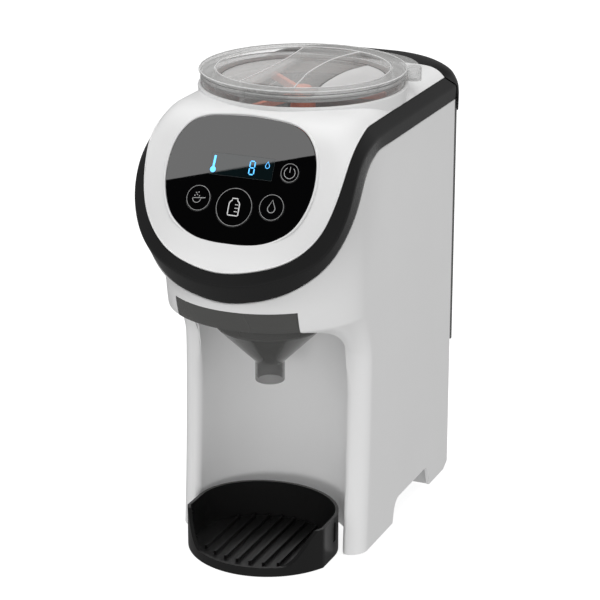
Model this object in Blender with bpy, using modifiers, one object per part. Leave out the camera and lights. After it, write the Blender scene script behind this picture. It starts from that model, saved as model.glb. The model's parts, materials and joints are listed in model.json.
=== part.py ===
"""Formula dispenser: a counter-top machine that mixes infant formula.

World frame: metres, +Z up, front at -Y, origin under the middle of the overall box.
The tables below are in millimetres in the design frame, whose Y is shifted by DATUM_Y.
"""
import math

import bmesh
import bpy
from mathutils import Matrix, Vector

MM = 0.001
DATUM_Y = -3.6            # the design frame's Y origin, seen from the world origin

# Body
HALF_WIDTH = 73.0         # side walls
AXIS_Y = -51.0            # upright axis shared by the front arc, the bottle bay and the spout
WALL = 2.6                # outer shell
GAP = 0.3                 # clearance between pieces that touch
SIDE_REAR_Y = 128.0       # rear edge of the side walls
GROUND_GAP = 1.5          # shell bottom above the ground, filled by the foot pads
BAY_RADIUS = 54.5         # bottle bay
BAY_WALL = 2.2
BAY_CEILING_Z = 183.0
ARCH_Z = 19.0             # underside of the arch between front leg and rear foot

# Head
PANEL_LEAN = math.radians(27.0)      # lean of the control panel from upright
PANEL_BASE = Vector((0.0, -121.0, 251.0))
GLASS_THICKNESS = 2.0
COVER_WALL = 2.4
BAND_DEPTH = 2.4

# Powder container, lid, mixer
CONTAINER_Y = 9.0
CONTAINER_RADIUS = 67.5
DECK_HOLE_RADIUS = 70.4
FLANGE_RADIUS = 72.3      # neck of the container above the deck
FLANGE_Z = (332.0, 338.2)
COLLAR_RADIUS = 75.2      # raised ring of the deck that the container's neck stands in
COLLAR_TOP_Z = 333.6
LID_RADIUS = 74.5
LID_TOP_Z = 345.0
LID_POCKET_RADIUS = 61.2
CONTAINER_FLOOR_Z = 260.0
GEAR_Z = 240.0
DRIVE_TEETH = 40
PINION_TEETH = 10
GEAR_MODULE = 1.5

# Water tank
TANK_FRONT_Y = 105.5
TANK_REAR_Y = 140.8
TANK_BOTTOM_Z = 107.0
TANK_TOP_Z = 300.0
TANK_WALL = 2.2
LID_REAR_Y = 144.0
LID_SKIRT_Z = 291.0

# Funnel and tray
FUNNEL_BAND_ANGLE = math.radians(39.0)
FUNNEL_BAND_Z = (189.0, 202.7)
BAND_SETBACK = 5.5        # how far the middle of the band's lower edge stands behind its upper edge
SPOUT_RADIUS = 10.7
SPOUT_Z = (127.4, 142.0)
CONE_RADIUS = 40.0
CONE_TOP_Z = 171.0        # where the cone turns upright below the dish
TRAY_WALL = 2.4
TRAY_RADIUS = 60.5        # front curve, sideways
TRAY_FRONT = 63.0         # front curve, forwards
TRAY_BACK = 46.0          # back curve
TRAY_HALF_WIDTH = 54.0    # straight sides
TRAY_BACK_Z = 31.0
TRAY_LIP_Z = 7.5
TRAY_SCOOP_Y = (-103.5, -81.0)       # the rim climbs from the low front lip to its full height
KEY_DEPTH = 3.6

# Head stations from the middle of the front round to the rear of the side:
# cover edge, fold of the band, lower edge of the band, middle line of the cover (y, z).
STATIONS = [
    ((0.0, -135.0, 233.5), (0.0, -136.8, 225.0), (0.0, -128.0, 209.5), (-135.0, 233.5)),
    ((19.0, -133.6, 236.0), (20.0, -136.0, 226.5), (18.5, -127.6, 212.3), (-132.5, 237.0)),
    ((37.5, -128.4, 240.3), (40.0, -131.5, 232.0), (37.0, -125.0, 217.2), (-128.3, 242.0)),
    ((52.0, -120.8, 247.2), (57.0, -123.8, 239.0), (52.0, -118.5, 224.6), (-122.6, 250.0)),
    ((63.8, -113.1, 259.4), (69.5, -114.8, 248.0), (64.0, -109.5, 234.0), (-115.0, 263.0)),
    ((69.5, -106.8, 273.5), (77.2, -107.5, 262.5), (72.5, -101.0, 246.0), (-107.0, 278.5)),
    ((72.8, -99.2, 287.4), (81.0, -99.5, 278.0), (77.5, -89.0, 261.5), (-99.5, 293.2)),
    ((74.4, -90.5, 302.0), (81.2, -90.0, 294.0), (77.5, -73.0, 275.0), (-91.5, 309.0)),
    ((74.9, -78.4, 313.9), (79.8, -74.0, 306.0), (75.8, -58.5, 290.5), (-82.5, 326.0)),
    ((74.0, -60.0, 320.5), (78.0, -52.0, 311.0), (73.6, -37.0, 299.3), (-66.0, 331.0)),
    ((73.2, -46.0, 322.7), (76.3, -32.0, 312.0), (73.0, -14.0, 300.3), (-46.0, 331.5)),
    ((73.0, -10.0, 322.7), (75.5, -5.0, 312.0), (73.0, 0.0, 300.0), (-10.0, 331.5)),
    ((73.0, 103.0, 322.7), (75.5, 123.5, 312.0), (73.0, 131.0, 300.0), (103.0, 331.0)),
]
COVER_ROLL = [4.0, 4.0, 4.0, 4.0, 4.0, 4.0, 4.5, 5.0, 7.0, 10.0, 12.0, 12.0, 12.0]

# Shell sections below the head: height, front of the section, corner radii along X and Y.
SHELL_SECTIONS = [
    (201.0, -124.0, 73.0, 73.0),
    (188.0, -118.8, 73.0, 67.8),
    (184.5, -107.0, 58.0, 58.0),
    (181.0, -84.0, 34.0, 38.0),
    (174.0, -64.0, 20.0, 20.0),
    (162.0, -51.5, 14.0, 14.0),
    (146.0, -47.3, 12.0, 12.0),
    (100.0, -48.3, 12.0, 12.0),
    (50.0, -51.0, 12.5, 12.5),
    (GROUND_GAP, -55.0, 13.0, 13.0),
]

# Glass outline: sideways, and up the leaning plane from PANEL_BASE. Right half, from the top.
GLASS_OUTLINE = [
    (0.0, 88.5), (22.0, 87.2), (33.0, 85.2), (42.0, 80.8), (49.0, 72.5), (53.2, 62.0),
    (54.8, 49.0), (54.0, 37.0), (50.6, 25.0), (44.5, 14.5), (35.0, 6.8), (24.0, 2.0), (12.0, 0.0),
]
KEYS = {
    "start_key": (0.0, 25.0, 13.4),
    "powder_key": (-27.3, 28.4, 9.0),
    "unit_key": (27.3, 28.0, 9.1),
    "power_key": (35.8, 52.8, 6.7),
}
LCD_CENTRE = (0.6, 53.5)
LCD_SIZE = (46.5, 16.0)


# ---------------------------------------------------------------- scene and materials
def clear_scene():
    for old in list(bpy.data.objects):
        bpy.data.objects.remove(old, do_unlink=True)


clear_scene()
PARTS = bpy.data.collections.new("formula_dispenser")
CUTTERS = bpy.data.collections.new("cutters")
bpy.context.scene.collection.children.link(PARTS)
bpy.context.scene.collection.children.link(CUTTERS)


def material(name, colour, roughness, metallic=0.0, transmission=0.0):
    made = bpy.data.materials.new(name)
    made.use_nodes = True
    shader = made.node_tree.nodes["Principled BSDF"]
    shader.inputs["Base Color"].default_value = (*colour, 1.0)
    shader.inputs["Roughness"].default_value = roughness
    shader.inputs["Metallic"].default_value = metallic
    shader.inputs["Transmission Weight"].default_value = transmission
    made.diffuse_color = (*colour, 1.0)
    return made


WHITE = material("white_plastic", (0.86, 0.86, 0.86), 0.32)
BLACK = material("black_trim", (0.016, 0.016, 0.017), 0.28)
GLASS = material("black_glass", (0.006, 0.006, 0.007), 0.08)
LCD = material("lcd", (0.02, 0.07, 0.08), 0.2)
KEYCAP = material("key_caps", (0.008, 0.008, 0.009), 0.12)
CLEAR = material("clear_plastic", (0.80, 0.80, 0.79), 0.08, transmission=0.8)
SMOKED = material("smoked_plastic", (0.14, 0.14, 0.135), 0.12, transmission=0.6)
SALMON = material("mixer_plastic", (0.85, 0.26, 0.15), 0.4)
TRAY_BLACK = material("tray_plastic", (0.02, 0.02, 0.02), 0.35)
GREY = material("grey_plastic", (0.32, 0.33, 0.34), 0.5)
RUBBER = material("rubber", (0.03, 0.03, 0.03), 0.8)
STEEL = material("steel", (0.6, 0.6, 0.6), 0.3, metallic=1.0)
BOARD = material("board", (0.03, 0.17, 0.08), 0.5)
ACETAL = material("acetal", (0.8, 0.78, 0.72), 0.4)
SILICONE = material("silicone", (0.75, 0.76, 0.76), 0.5)


# ---------------------------------------------------------------- helpers
def point(x, y, z):
    """A design-frame point in millimetres, as a world vector."""
    return Vector((x, y + DATUM_Y, z)) * MM


def link(name, mesh, mat, cutter=False):
    obj = bpy.data.objects.new(name, mesh)
    (CUTTERS if cutter else PARTS).objects.link(obj)
    if cutter:
        obj.hide_render = True
        obj.display_type = "WIRE"
        return obj
    mesh.materials.clear()
    mesh.materials.append(mat)
    return obj


def smooth(obj, angle=35.0):
    obj.data.shade_smooth()
    obj.data.set_sharp_from_angle(angle=math.radians(angle))
    return obj


def from_bmesh(name, bm, mat, cutter=False):
    bmesh.ops.recalc_face_normals(bm, faces=bm.faces)
    mesh = bpy.data.meshes.new(name)
    bm.to_mesh(mesh)
    bm.free()
    return link(name, mesh, mat, cutter)


def as_mesh(curve_object, name, mat, cutter=False):
    """A curve object's evaluated shape as a welded mesh object."""
    bpy.context.view_layer.update()
    graph = bpy.context.evaluated_depsgraph_get()
    mesh = bpy.data.meshes.new_from_object(curve_object.evaluated_get(graph))
    place = curve_object.matrix_world.copy()
    bpy.data.objects.remove(curve_object, do_unlink=True)
    bm = bmesh.new()
    bm.from_mesh(mesh)
    bmesh.ops.remove_doubles(bm, verts=bm.verts, dist=0.00001)
    bmesh.ops.recalc_face_normals(bm, faces=bm.faces)
    bm.to_mesh(mesh)
    bm.free()
    obj = link(name, mesh, mat, cutter)
    obj.matrix_world = place
    return obj


def plate(name, outline, low, high, mat=None, cutter=False, side=False):
    """An outline given thickness: (x, y) upwards, or with side=True (y, z) across X."""
    curve = bpy.data.curves.new(name, "CURVE")
    curve.dimensions = "2D"
    curve.fill_mode = "BOTH"
    curve.extrude = (high - low) / 2 * MM
    spline = curve.splines.new("POLY")
    spline.points.add(len(outline) - 1)
    for spot, (u, v) in zip(spline.points, outline):
        spot.co = (u * MM, v * MM, 0.0, 1.0)
    spline.use_cyclic_u = True
    obj = bpy.data.objects.new(name, curve)
    PARTS.objects.link(obj)
    middle = (low + high) / 2
    if side:
        turn = Matrix(((0, 0, 1), (1, 0, 0), (0, 1, 0))).to_4x4()
        obj.matrix_world = Matrix.Translation(point(middle, 0.0, 0.0)) @ turn
    else:
        obj.matrix_world = Matrix.Translation(point(0.0, 0.0, middle))
    return as_mesh(obj, name, mat, cutter)


def turned(name, profile, x, y, mat=None, steps=40, cutter=False):
    """A closed or axis-to-axis (radius, z) profile turned round an upright axis."""
    bm = bmesh.new()
    spots = [bm.verts.new((r * MM, 0.0, z * MM)) for r, z in profile]
    for one, two in zip(spots, spots[1:]):
        bm.edges.new((one, two))
    if profile[0][0] > 0.0:
        bm.edges.new((spots[-1], spots[0]))
    mesh = bpy.data.meshes.new(name)
    bm.to_mesh(mesh)
    bm.free()
    obj = link(name, mesh, mat, cutter)
    obj.location = point(x, y, 0.0)
    screw = obj.modifiers.new("turn", "SCREW")
    screw.steps = steps
    screw.render_steps = steps
    screw.use_merge_vertices = True
    screw.merge_threshold = 0.00001
    return obj


def box(name, low, high, mat=None, cutter=False, edge=0.0):
    bm = bmesh.new()
    bmesh.ops.create_cube(bm, size=1.0)
    low, high = point(*low), point(*high)
    for vert in bm.verts:
        vert.co = Vector(a + (b - a) * (c + 0.5) for a, b, c in zip(low, high, vert.co))
    obj = from_bmesh(name, bm, mat, cutter)
    if edge:
        round_edges(obj, edge)
    return obj


def round_edges(obj, width, segments=2):
    bevel = obj.modifiers.new("edges", "BEVEL")
    bevel.width = width * MM
    bevel.segments = segments
    bevel.limit_method = "ANGLE"


def rod(name, start, end, radius, mat=None, cutter=False, sides=24):
    """A cylinder between two design-frame points."""
    start, end = point(*start), point(*end)
    along = end - start
    turn = Vector((0, 0, 1)).rotation_difference(along).to_matrix().to_4x4()
    bm = bmesh.new()
    bmesh.ops.create_cone(
        bm, cap_ends=True, segments=sides, radius1=radius * MM, radius2=radius * MM,
        depth=along.length, matrix=Matrix.Translation((start + end) / 2) @ turn)
    return from_bmesh(name, bm, mat, cutter)


def hose(name, spots, radius, mat, resolution=2):
    """A hose along a smooth curve through the given points."""
    curve = bpy.data.curves.new(name, "CURVE")
    curve.dimensions = "3D"
    curve.bevel_depth = radius * MM
    curve.bevel_resolution = resolution
    curve.use_fill_caps = True
    steps = 4 * (len(spots) - 1)
    route = [spline_at(spots, k / 4) for k in range(steps + 1)]
    spline = curve.splines.new("POLY")
    spline.points.add(len(route) - 1)
    for spot, place in zip(spline.points, route):
        spot.co = (*point(*place), 1.0)
    obj = bpy.data.objects.new(name, curve)
    PARTS.objects.link(obj)
    return as_mesh(obj, name, mat)


def boolean(obj, other, operation="DIFFERENCE"):
    change = obj.modifiers.new(other.name, "BOOLEAN")
    change.operation = operation
    change.solver = "EXACT"
    change.object = other


def cut(obj, *cutters):
    for cutter in cutters:
        boolean(obj, cutter)


def join(obj, *others):
    for other in others:
        boolean(obj, other, "UNION")


def arc(radius_x, radius_y, centre, start, end, count):
    """Points on an ellipse arc, angles in degrees."""
    found = []
    for k in range(count + 1):
        angle = math.radians(start + (end - start) * k / count)
        found.append((centre[0] + radius_x * math.cos(angle), centre[1] + radius_y * math.sin(angle)))
    return found


def spline_at(values, t):
    """A smooth curve through evenly numbered values, each a tuple."""
    k = min(int(t), len(values) - 2)
    f = t - k
    before = values[max(k - 1, 0)]
    after = values[min(k + 2, len(values) - 1)]
    result = []
    for a, b, c, d in zip(before, values[k], values[k + 1], after):
        slope_b = (c - a) / 2
        slope_c = (d - b) / 2
        h = f * f * (3 - 2 * f)
        result.append(b + (c - b) * h + slope_b * f * (1 - f) ** 2 - slope_c * f * f * (1 - f))
    return tuple(result)


def grid(name, rows, mat, closed_rows=False, caps=False, cutter=False):
    """A surface through rows of design-frame points, all of one length."""
    bm = bmesh.new()
    mesh_rows = [[bm.verts.new(point(*spot)) for spot in row] for row in rows]
    count = len(rows[0])
    last = count if closed_rows else count - 1
    for one, two in zip(mesh_rows, mesh_rows[1:]):
        for k in range(last):
            n = (k + 1) % count
            bm.faces.new((one[k], one[n], two[n], two[k]))
    if caps:
        bm.faces.new(mesh_rows[0])
        bm.faces.new(mesh_rows[-1])
    return from_bmesh(name, bm, mat, cutter)


def walled(name, rows, thickness, mat, inside, rim):
    """A wall whose outer face runs through the rows; rim gives chosen inner points by row, column."""
    bm = bmesh.new()
    outer = [[bm.verts.new(point(*spot)) for spot in row] for row in rows]
    deep, wide = len(rows), len(rows[0])
    faces = []
    for i in range(deep - 1):
        for k in range(wide - 1):
            faces.append(bm.faces.new((outer[i][k], outer[i][k + 1], outer[i + 1][k + 1], outer[i + 1][k])))
    bm.normal_update()
    core = point(*inside)
    vote = sum((face.calc_center_median() - core).dot(face.normal) * face.calc_area() for face in faces)
    if vote < 0.0:
        bmesh.ops.reverse_faces(bm, faces=faces)
        bm.normal_update()
    inner = []
    for i, row in enumerate(outer):
        inner.append([])
        for k, vert in enumerate(row):
            spot = rim.get((i, k))
            place = point(*spot) if spot else vert.co - vert.normal * thickness * MM
            inner[i].append(bm.verts.new(place))
    for i in range(deep - 1):
        for k in range(wide - 1):
            bm.faces.new((inner[i][k], inner[i][k + 1], inner[i + 1][k + 1], inner[i + 1][k]))
    for k in range(wide - 1):
        bm.faces.new((outer[0][k], outer[0][k + 1], inner[0][k + 1], inner[0][k]))
        bm.faces.new((outer[-1][k], outer[-1][k + 1], inner[-1][k + 1], inner[-1][k]))
    for i in range(deep - 1):
        bm.faces.new((outer[i][0], outer[i + 1][0], inner[i + 1][0], inner[i][0]))
        bm.faces.new((outer[i][-1], outer[i + 1][-1], inner[i + 1][-1], inner[i][-1]))
    return from_bmesh(name, bm, mat)


def mirrored(half):
    """Both sides of a row that starts at the middle plane."""
    return [(-x, y, z) for x, y, z in reversed(half[1:])] + list(half)


# ---------------------------------------------------------------- head curves
FRONT_STEPS = 20                      # half stations round the front
COLUMNS = [k / 2 for k in range(FRONT_STEPS + 1)] + [11.0, 12.0]


def station(t):
    """Cover edge, fold, lower edge and cover middle at station t, level across the middle plane."""
    far_side = [(-x, y, z) for x, y, z in STATIONS[1][:3]] + [STATIONS[1][3]]
    return [spline_at([far_side[k]] + [row[k] for row in STATIONS], t + 1.0) for k in range(4)]


def lerp(a, b, f):
    return tuple(p + (q - p) * f for p, q in zip(a, b))


def inward(t, spot, depth):
    """A spot moved into the head towards the band's inner line."""
    edge, fold, lower, _ = station(t)
    middle = Vector(lerp(edge, lower, 0.5))
    away = middle - Vector(fold)
    if t >= 11.0:
        middle.y = spot[1]
        away.y = 0.0
    core = middle + away.normalized() * 14.0
    return tuple(Vector(spot) + (core - Vector(spot)).normalized() * depth)


def band_section(t):
    """Closed section of the band, clear of the shells along both edges."""
    edge, fold, lower = [Vector(spot) for spot in station(t)[:3]]
    upper_edge = edge + (fold - edge).normalized() * GAP
    lower_edge = lower + (fold - lower).normalized() * GAP
    face = [upper_edge, upper_edge.lerp(fold, 0.55), fold, fold.lerp(lower_edge, 0.5), lower_edge]
    back = [inward(t, spot, BAND_DEPTH) for spot in (lower_edge, fold, upper_edge)]
    return [tuple(spot) for spot in face] + back


def make_band():
    right = [band_section(t) for t in COLUMNS]
    left = [[(-x, y, z) for x, y, z in section] for section in reversed(right[1:])]
    smooth(grid("trim_band", left + right, BLACK, closed_rows=True, caps=True))


# ---------------------------------------------------------------- white shells
def section_points(front, radius_x, radius_y):
    """Fine polyline of one plan section: middle of the front to the start of the side."""
    flat = HALF_WIDTH - radius_x
    corner = (flat, front + radius_y)
    half = [(0.0, front), (flat, front)] if flat > 0.5 else [(0.0, front)]
    half += [(corner[0] + radius_x * math.sin(a), corner[1] - radius_y * math.cos(a))
             for a in (math.radians(3 * k) for k in range(1, 31))]
    half.append((HALF_WIDTH, -14.0))
    return half


def along(polyline, fraction):
    lengths = [math.dist(a, b) for a, b in zip(polyline, polyline[1:])]
    left = fraction * sum(lengths)
    for (a, b), length in zip(zip(polyline, polyline[1:]), lengths):
        if left <= length:
            return lerp(a, b, left / length)
        left -= length
    return polyline[-1]


def shell_row(front, radius_x, radius_y, z):
    """One row of the shell: from the middle of the front to the rear of the side wall."""
    outline = section_points(front, radius_x, radius_y)
    row = [(*along(outline, k / FRONT_STEPS), z) for k in range(FRONT_STEPS + 1)]
    row.append((HALF_WIDTH, 0.0, z))
    row.append((HALF_WIDTH, SIDE_REAR_Y, z))
    return row


def make_housing():
    rim = [station(t)[2] for t in COLUMNS]
    rim[-1] = (HALF_WIDTH, SIDE_REAR_Y, rim[-1][2])
    rows = [shell_row(*section[1:], section[0]) for section in SHELL_SECTIONS]
    flare = []
    for f in (0.7, 0.4):
        flare.append([
            (*lerp(low[:2], high[:2], f ** 1.7), low[2] + (high[2] - low[2]) * f)
            for low, high in zip(rows[0], rim)])
    rows = [mirrored(row) for row in [rim] + flare + rows]
    lining = mirrored([inward(t, spot, WALL) for t, spot in zip(COLUMNS, rim)])
    shell = walled("main_housing", rows, WALL, WHITE, (0.0, 30.0, 150.0),
                   {(0, k): spot for k, spot in enumerate(lining)})
    bay = rod("bay_room", (0, AXIS_Y, -5), (0, AXIS_Y, 182.3), BAY_RADIUS + BAY_WALL + GAP,
              cutter=True, sides=48)
    slot_angle = math.degrees(FUNNEL_BAND_ANGLE) + 0.3
    slot_side = HALF_WIDTH * math.sin(math.radians(slot_angle))
    slot_room = box("slot_room", (-slot_side, -140.0, 176.7), (slot_side, -71.3, FUNNEL_BAND_Z[1] + GAP),
                    cutter=True)
    arch = [(9.0, -2.0), (9.0, 0.0), (12.0, 13.0), (23.0, ARCH_Z), (80.0, ARCH_Z),
            (84.0, 12.0), (88.0, 0.0), (88.0, -2.0)]
    arch_room = plate("arch_room", arch, -90, 90, cutter=True, side=True)
    heel = [(117.0, 0.0), (128.5, 6.0), (140.0, 6.0), (140.0, -2.0), (117.0, -2.0)]
    heel_room = plate("heel_room", heel, -90, 90, cutter=True, side=True)
    join(bay, slot_room)
    cut(shell, bay, arch_room, heel_room)
    return smooth(shell)


def make_cover():
    across = [k / 9 for k in range(10)]
    first = [station(0.0)[0], station(COLUMNS[1])[0]]
    half = [lerp(first[0], first[1], f) for f in across]
    rows = [mirrored(half)]
    below = mirrored([inward(COLUMNS[1] * f, spot, COVER_WALL) for f, spot in zip(across, half)])
    rim = {(0, k): spot for k, spot in enumerate(below)}
    for i, t in enumerate(COLUMNS[2:], start=1):
        edge, _, _, (mid_y, mid_z) = station(t)
        roll = spline_at([(v,) for v in COVER_ROLL], t)[0]
        half = []
        for f in across:
            u = f ** 0.8
            share = u ** roll
            half.append((edge[0] * u, mid_y + (edge[1] - mid_y) * share, mid_z + (edge[2] - mid_z) * share))
        rows.append(mirrored(half))
        x, y, z = inward(t, edge, COVER_WALL)
        y = min(y, mid_y) if t == COLUMNS[-1] else y
        rim[(i, 0)] = (-x, y, z)
        rim[(i, 2 * len(across) - 2)] = (x, y, z)
    cover = walled("top_cover", rows, COVER_WALL, WHITE, (0.0, 0.0, 200.0), rim)
    hole = rod("deck_hole", (0, CONTAINER_Y, 280), (0, CONTAINER_Y, 360), DECK_HOLE_RADIUS,
               cutter=True, sides=40)
    collar = turned("deck_collar", [
        (DECK_HOLE_RADIUS, 331.7), (FLANGE_RADIUS + 0.4, 331.7), (FLANGE_RADIUS + 0.4, COLLAR_TOP_Z),
        (COLLAR_RADIUS - 0.8, COLLAR_TOP_Z), (COLLAR_RADIUS, COLLAR_TOP_Z - 1.0),
        (COLLAR_RADIUS - 1.0, 323.4), (DECK_HOLE_RADIUS, 323.4)], 0, CONTAINER_Y, cutter=True)
    cut(cover, GLASS_ROOM, hole)
    join(cover, collar)
    return smooth(cover)


def make_bay_wall():
    outer = BAY_RADIUS + BAY_WALL
    profile = [(CONE_RADIUS + 4, BAY_CEILING_Z - 2), (outer, BAY_CEILING_Z - 2), (outer, 2.0),
               (BAY_RADIUS, 2.0), (BAY_RADIUS, BAY_CEILING_Z - 4.4), (CONE_RADIUS + 4, BAY_CEILING_Z - 4.4)]
    wall = turned("bay_wall", profile, 0, AXIS_Y, WHITE)
    front = plate("bay_front", [(-160.0, -5.0), (-54.5, -5.0), (-50.4, 50.0), (-47.6, 100.0),
                                (-46.6, 146.0), (-46.6, 195.0), (-160.0, 195.0)], -90, 90,
                  cutter=True, side=True)
    cut(wall, front)
    return smooth(wall)


# ---------------------------------------------------------------- control panel
PANEL_UP = Vector((0.0, math.sin(PANEL_LEAN), math.cos(PANEL_LEAN)))
PANEL_OUT = Vector((0.0, -math.cos(PANEL_LEAN), math.sin(PANEL_LEAN)))
PANEL_TURN = Matrix(((1, 0, 0), (0, PANEL_UP.y, PANEL_OUT.y), (0, PANEL_UP.z, PANEL_OUT.z))).to_4x4()


def panel_point(across, up, out=0.0):
    """A design-frame point given by its place on the leaning panel."""
    return PANEL_BASE + Vector((across, 0.0, 0.0)) + PANEL_UP * up + PANEL_OUT * out


def panel_plate(name, outline, low, high, mat=None, cutter=False):
    """An outline on the leaning panel, with thickness along its outward direction."""
    obj = plate(name, outline, low, high, mat, cutter)
    shift = Matrix.Translation(-point(0.0, 0.0, 0.0))
    obj.matrix_world = Matrix.Translation(point(*PANEL_BASE)) @ PANEL_TURN @ shift @ obj.matrix_world
    return obj


def glass_outline(spread=0.0):
    half = GLASS_OUTLINE
    both = list(half) + [(0.0, -0.3)] + [(-x, up) for x, up in reversed(half[1:])]
    middle = Vector((0.0, 44.0))
    return [tuple(Vector(spot) + (Vector(spot) - middle).normalized() * spread) for spot in both]


def rectangle(centre, size, radius=2.0):
    x, y = centre
    w, h = size[0] / 2 - radius, size[1] / 2 - radius
    corners = ((w, h, 0), (-w, h, 90), (-w, -h, 180), (w, -h, 270))
    outline = []
    for cx, cy, start in corners:
        outline += arc(radius, radius, (x + cx, y + cy), start, start + 90, 2)
    return outline


def make_panel():
    glass = panel_plate("control_panel", glass_outline(), -GLASS_THICKNESS, 0.0, GLASS)
    carrier = panel_plate("panel_carrier", glass_outline(-3.0), -6.5, -GLASS_THICKNESS - GAP, TRAY_BLACK)
    window = panel_plate("lcd_window", rectangle(LCD_CENTRE, (49.0, 18.6)), -9.0, -1.2, cutter=True)
    cut(carrier, window)
    panel_plate("lcd_display", rectangle(LCD_CENTRE, LCD_SIZE), -5.6, -GLASS_THICKNESS - GAP, LCD)
    panel_plate("control_board", rectangle((4.0, 40.0), (84.0, 66.0), 4.0), -9.2, -7.4, BOARD)
    for name, (across, up, radius) in KEYS.items():
        key = rod(name, panel_point(across, up, -KEY_DEPTH), panel_point(across, up), radius, KEYCAP,
                  sides=24)
        place_origin(smooth(key), panel_point(across, up))
        room = rod(name + "_room", panel_point(across, up, -8.0), panel_point(across, up, 4.0),
                   radius + GAP, cutter=True, sides=24)
        cut(glass, room)
        well = rod(name + "_well", panel_point(across, up, -KEY_DEPTH - 1.6), panel_point(across, up, 4.0),
                   radius + GAP, cutter=True, sides=24)
        cut(carrier, well)
    smooth(glass)
    smooth(carrier)


def place_origin(obj, spot):
    """Move an object's origin to a design-frame point, its shape staying where it is."""
    where = point(*spot)
    obj.data.transform(Matrix.Translation(-where) @ obj.matrix_basis)
    obj.matrix_basis = Matrix.Translation(where)
    return obj


# ---------------------------------------------------------------- powder container and mixer
def make_container():
    r, floor = CONTAINER_RADIUS, CONTAINER_FLOOR_Z
    neck_low, neck_top = FLANGE_Z
    profile = [(FLANGE_RADIUS + 1.1, neck_top), (FLANGE_RADIUS + 1.1, neck_top - 1.0),
               (FLANGE_RADIUS, neck_top - 1.6), (FLANGE_RADIUS, neck_low), (r, neck_low), (r, floor),
               (8.0, floor), (8.0, floor + 2.2), (r - 2.0, floor + 2.2), (r - 2.0, neck_top)]
    cup = turned("powder_container", profile, 0, CONTAINER_Y, CLEAR, steps=40)
    outlet = rod("outlet_room", (0, AXIS_Y + 8, floor - 2), (0, AXIS_Y + 8, floor + 4), 6.5, cutter=True)
    cut(cup, outlet)
    place_origin(smooth(cup), (0, CONTAINER_Y, 0))

    seal = turned("lid_seal", [(r - 2.4, 338.6), (r - 2.4, 334.6), (r - 4.0, 334.6), (r - 4.0, 338.6)],
                  0, CONTAINER_Y, SILICONE)
    smooth(seal)
    make_lid()


def make_lid():
    """Lid with two finger pockets either side of a bridge, and a lug on its rim."""
    top, pocket = LID_TOP_Z, LID_POCKET_RADIUS
    plug = pocket + 2.0
    profile = [(0.0, 336.2), (pocket - 1.7, 336.2), (pocket - 0.4, 337.5), (pocket, top - 2.4),
               (pocket + 2.3, top), (LID_RADIUS - 1.0, top), (LID_RADIUS, top - 0.8), (LID_RADIUS, top - 2.0),
               (73.2, top - 2.4), (73.2, 338.5), (71.5, 338.5), (71.5, top - 2.4), (plug, top - 2.4),
               (plug - 0.2, 334.2), (0.0, 334.2)]
    lid = turned("container_lid", profile, 0, CONTAINER_Y, CLEAR)
    left = [(-24.5, CONTAINER_Y + y) for y in (57.0, -57.0)]
    hollow = [(18.5, -59.0), (14.0, -35.0), (10.5, -15.0), (9.4, 8.0), (10.5, 30.0), (14.5, 46.0),
              (19.5, 58.5)]
    crest = left + [(x, CONTAINER_Y + y) for x, y in hollow]
    foot = left + [(x + 9.0, CONTAINER_Y + y * 0.95) for x, y in hollow]
    rows = [[(x, y, 335.0) for x, y in foot], [(x, y, top - 0.4) for x, y in crest]]
    bridge = grid("lid_bridge", rows, None, closed_rows=True, caps=True, cutter=True)
    tab = [(31.0, 65.5), (36.0, 64.5), (47.0, 61.0), (57.3, 56.0), (66.0, 48.5), (72.4, 40.0), (76.2, 31.0),
           (77.0, 25.0), (75.8, 19.0), (71.5, 16.5), (66.0, 30.0), (50.0, 52.0), (30.0, 64.0)]
    lug = plate("lid_lug", [(x, CONTAINER_Y + y) for x, y in tab], top - 3.5, top, cutter=True)
    post = rod("lid_post", (71.5, CONTAINER_Y + 34.0, 334.2), (71.5, CONTAINER_Y + 34.0, top - 0.5), 5.6,
               cutter=True)
    keep = rod("lug_keep", (0, CONTAINER_Y, 320), (0, CONTAINER_Y, 336), FLANGE_RADIUS + 1.5, cutter=True,
               sides=40)
    cut(post, keep)
    join(lid, bridge, lug, post)
    place_origin(smooth(lid), (0, CONTAINER_Y, 0))


def gear_outline(teeth, x, y, turn=0.0):
    """Spur gear outline with plain tapered teeth."""
    outer = GEAR_MODULE * (teeth + 2) / 2 - 0.25
    root = GEAR_MODULE * (teeth - 2.5) / 2
    outline = []
    for k in range(teeth):
        for share, radius in ((-0.30, root), (-0.13, outer), (0.13, outer), (0.30, root)):
            angle = 2 * math.pi * (k + share) / teeth + turn
            outline.append((x + radius * math.cos(angle), y + radius * math.sin(angle)))
    return outline


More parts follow.
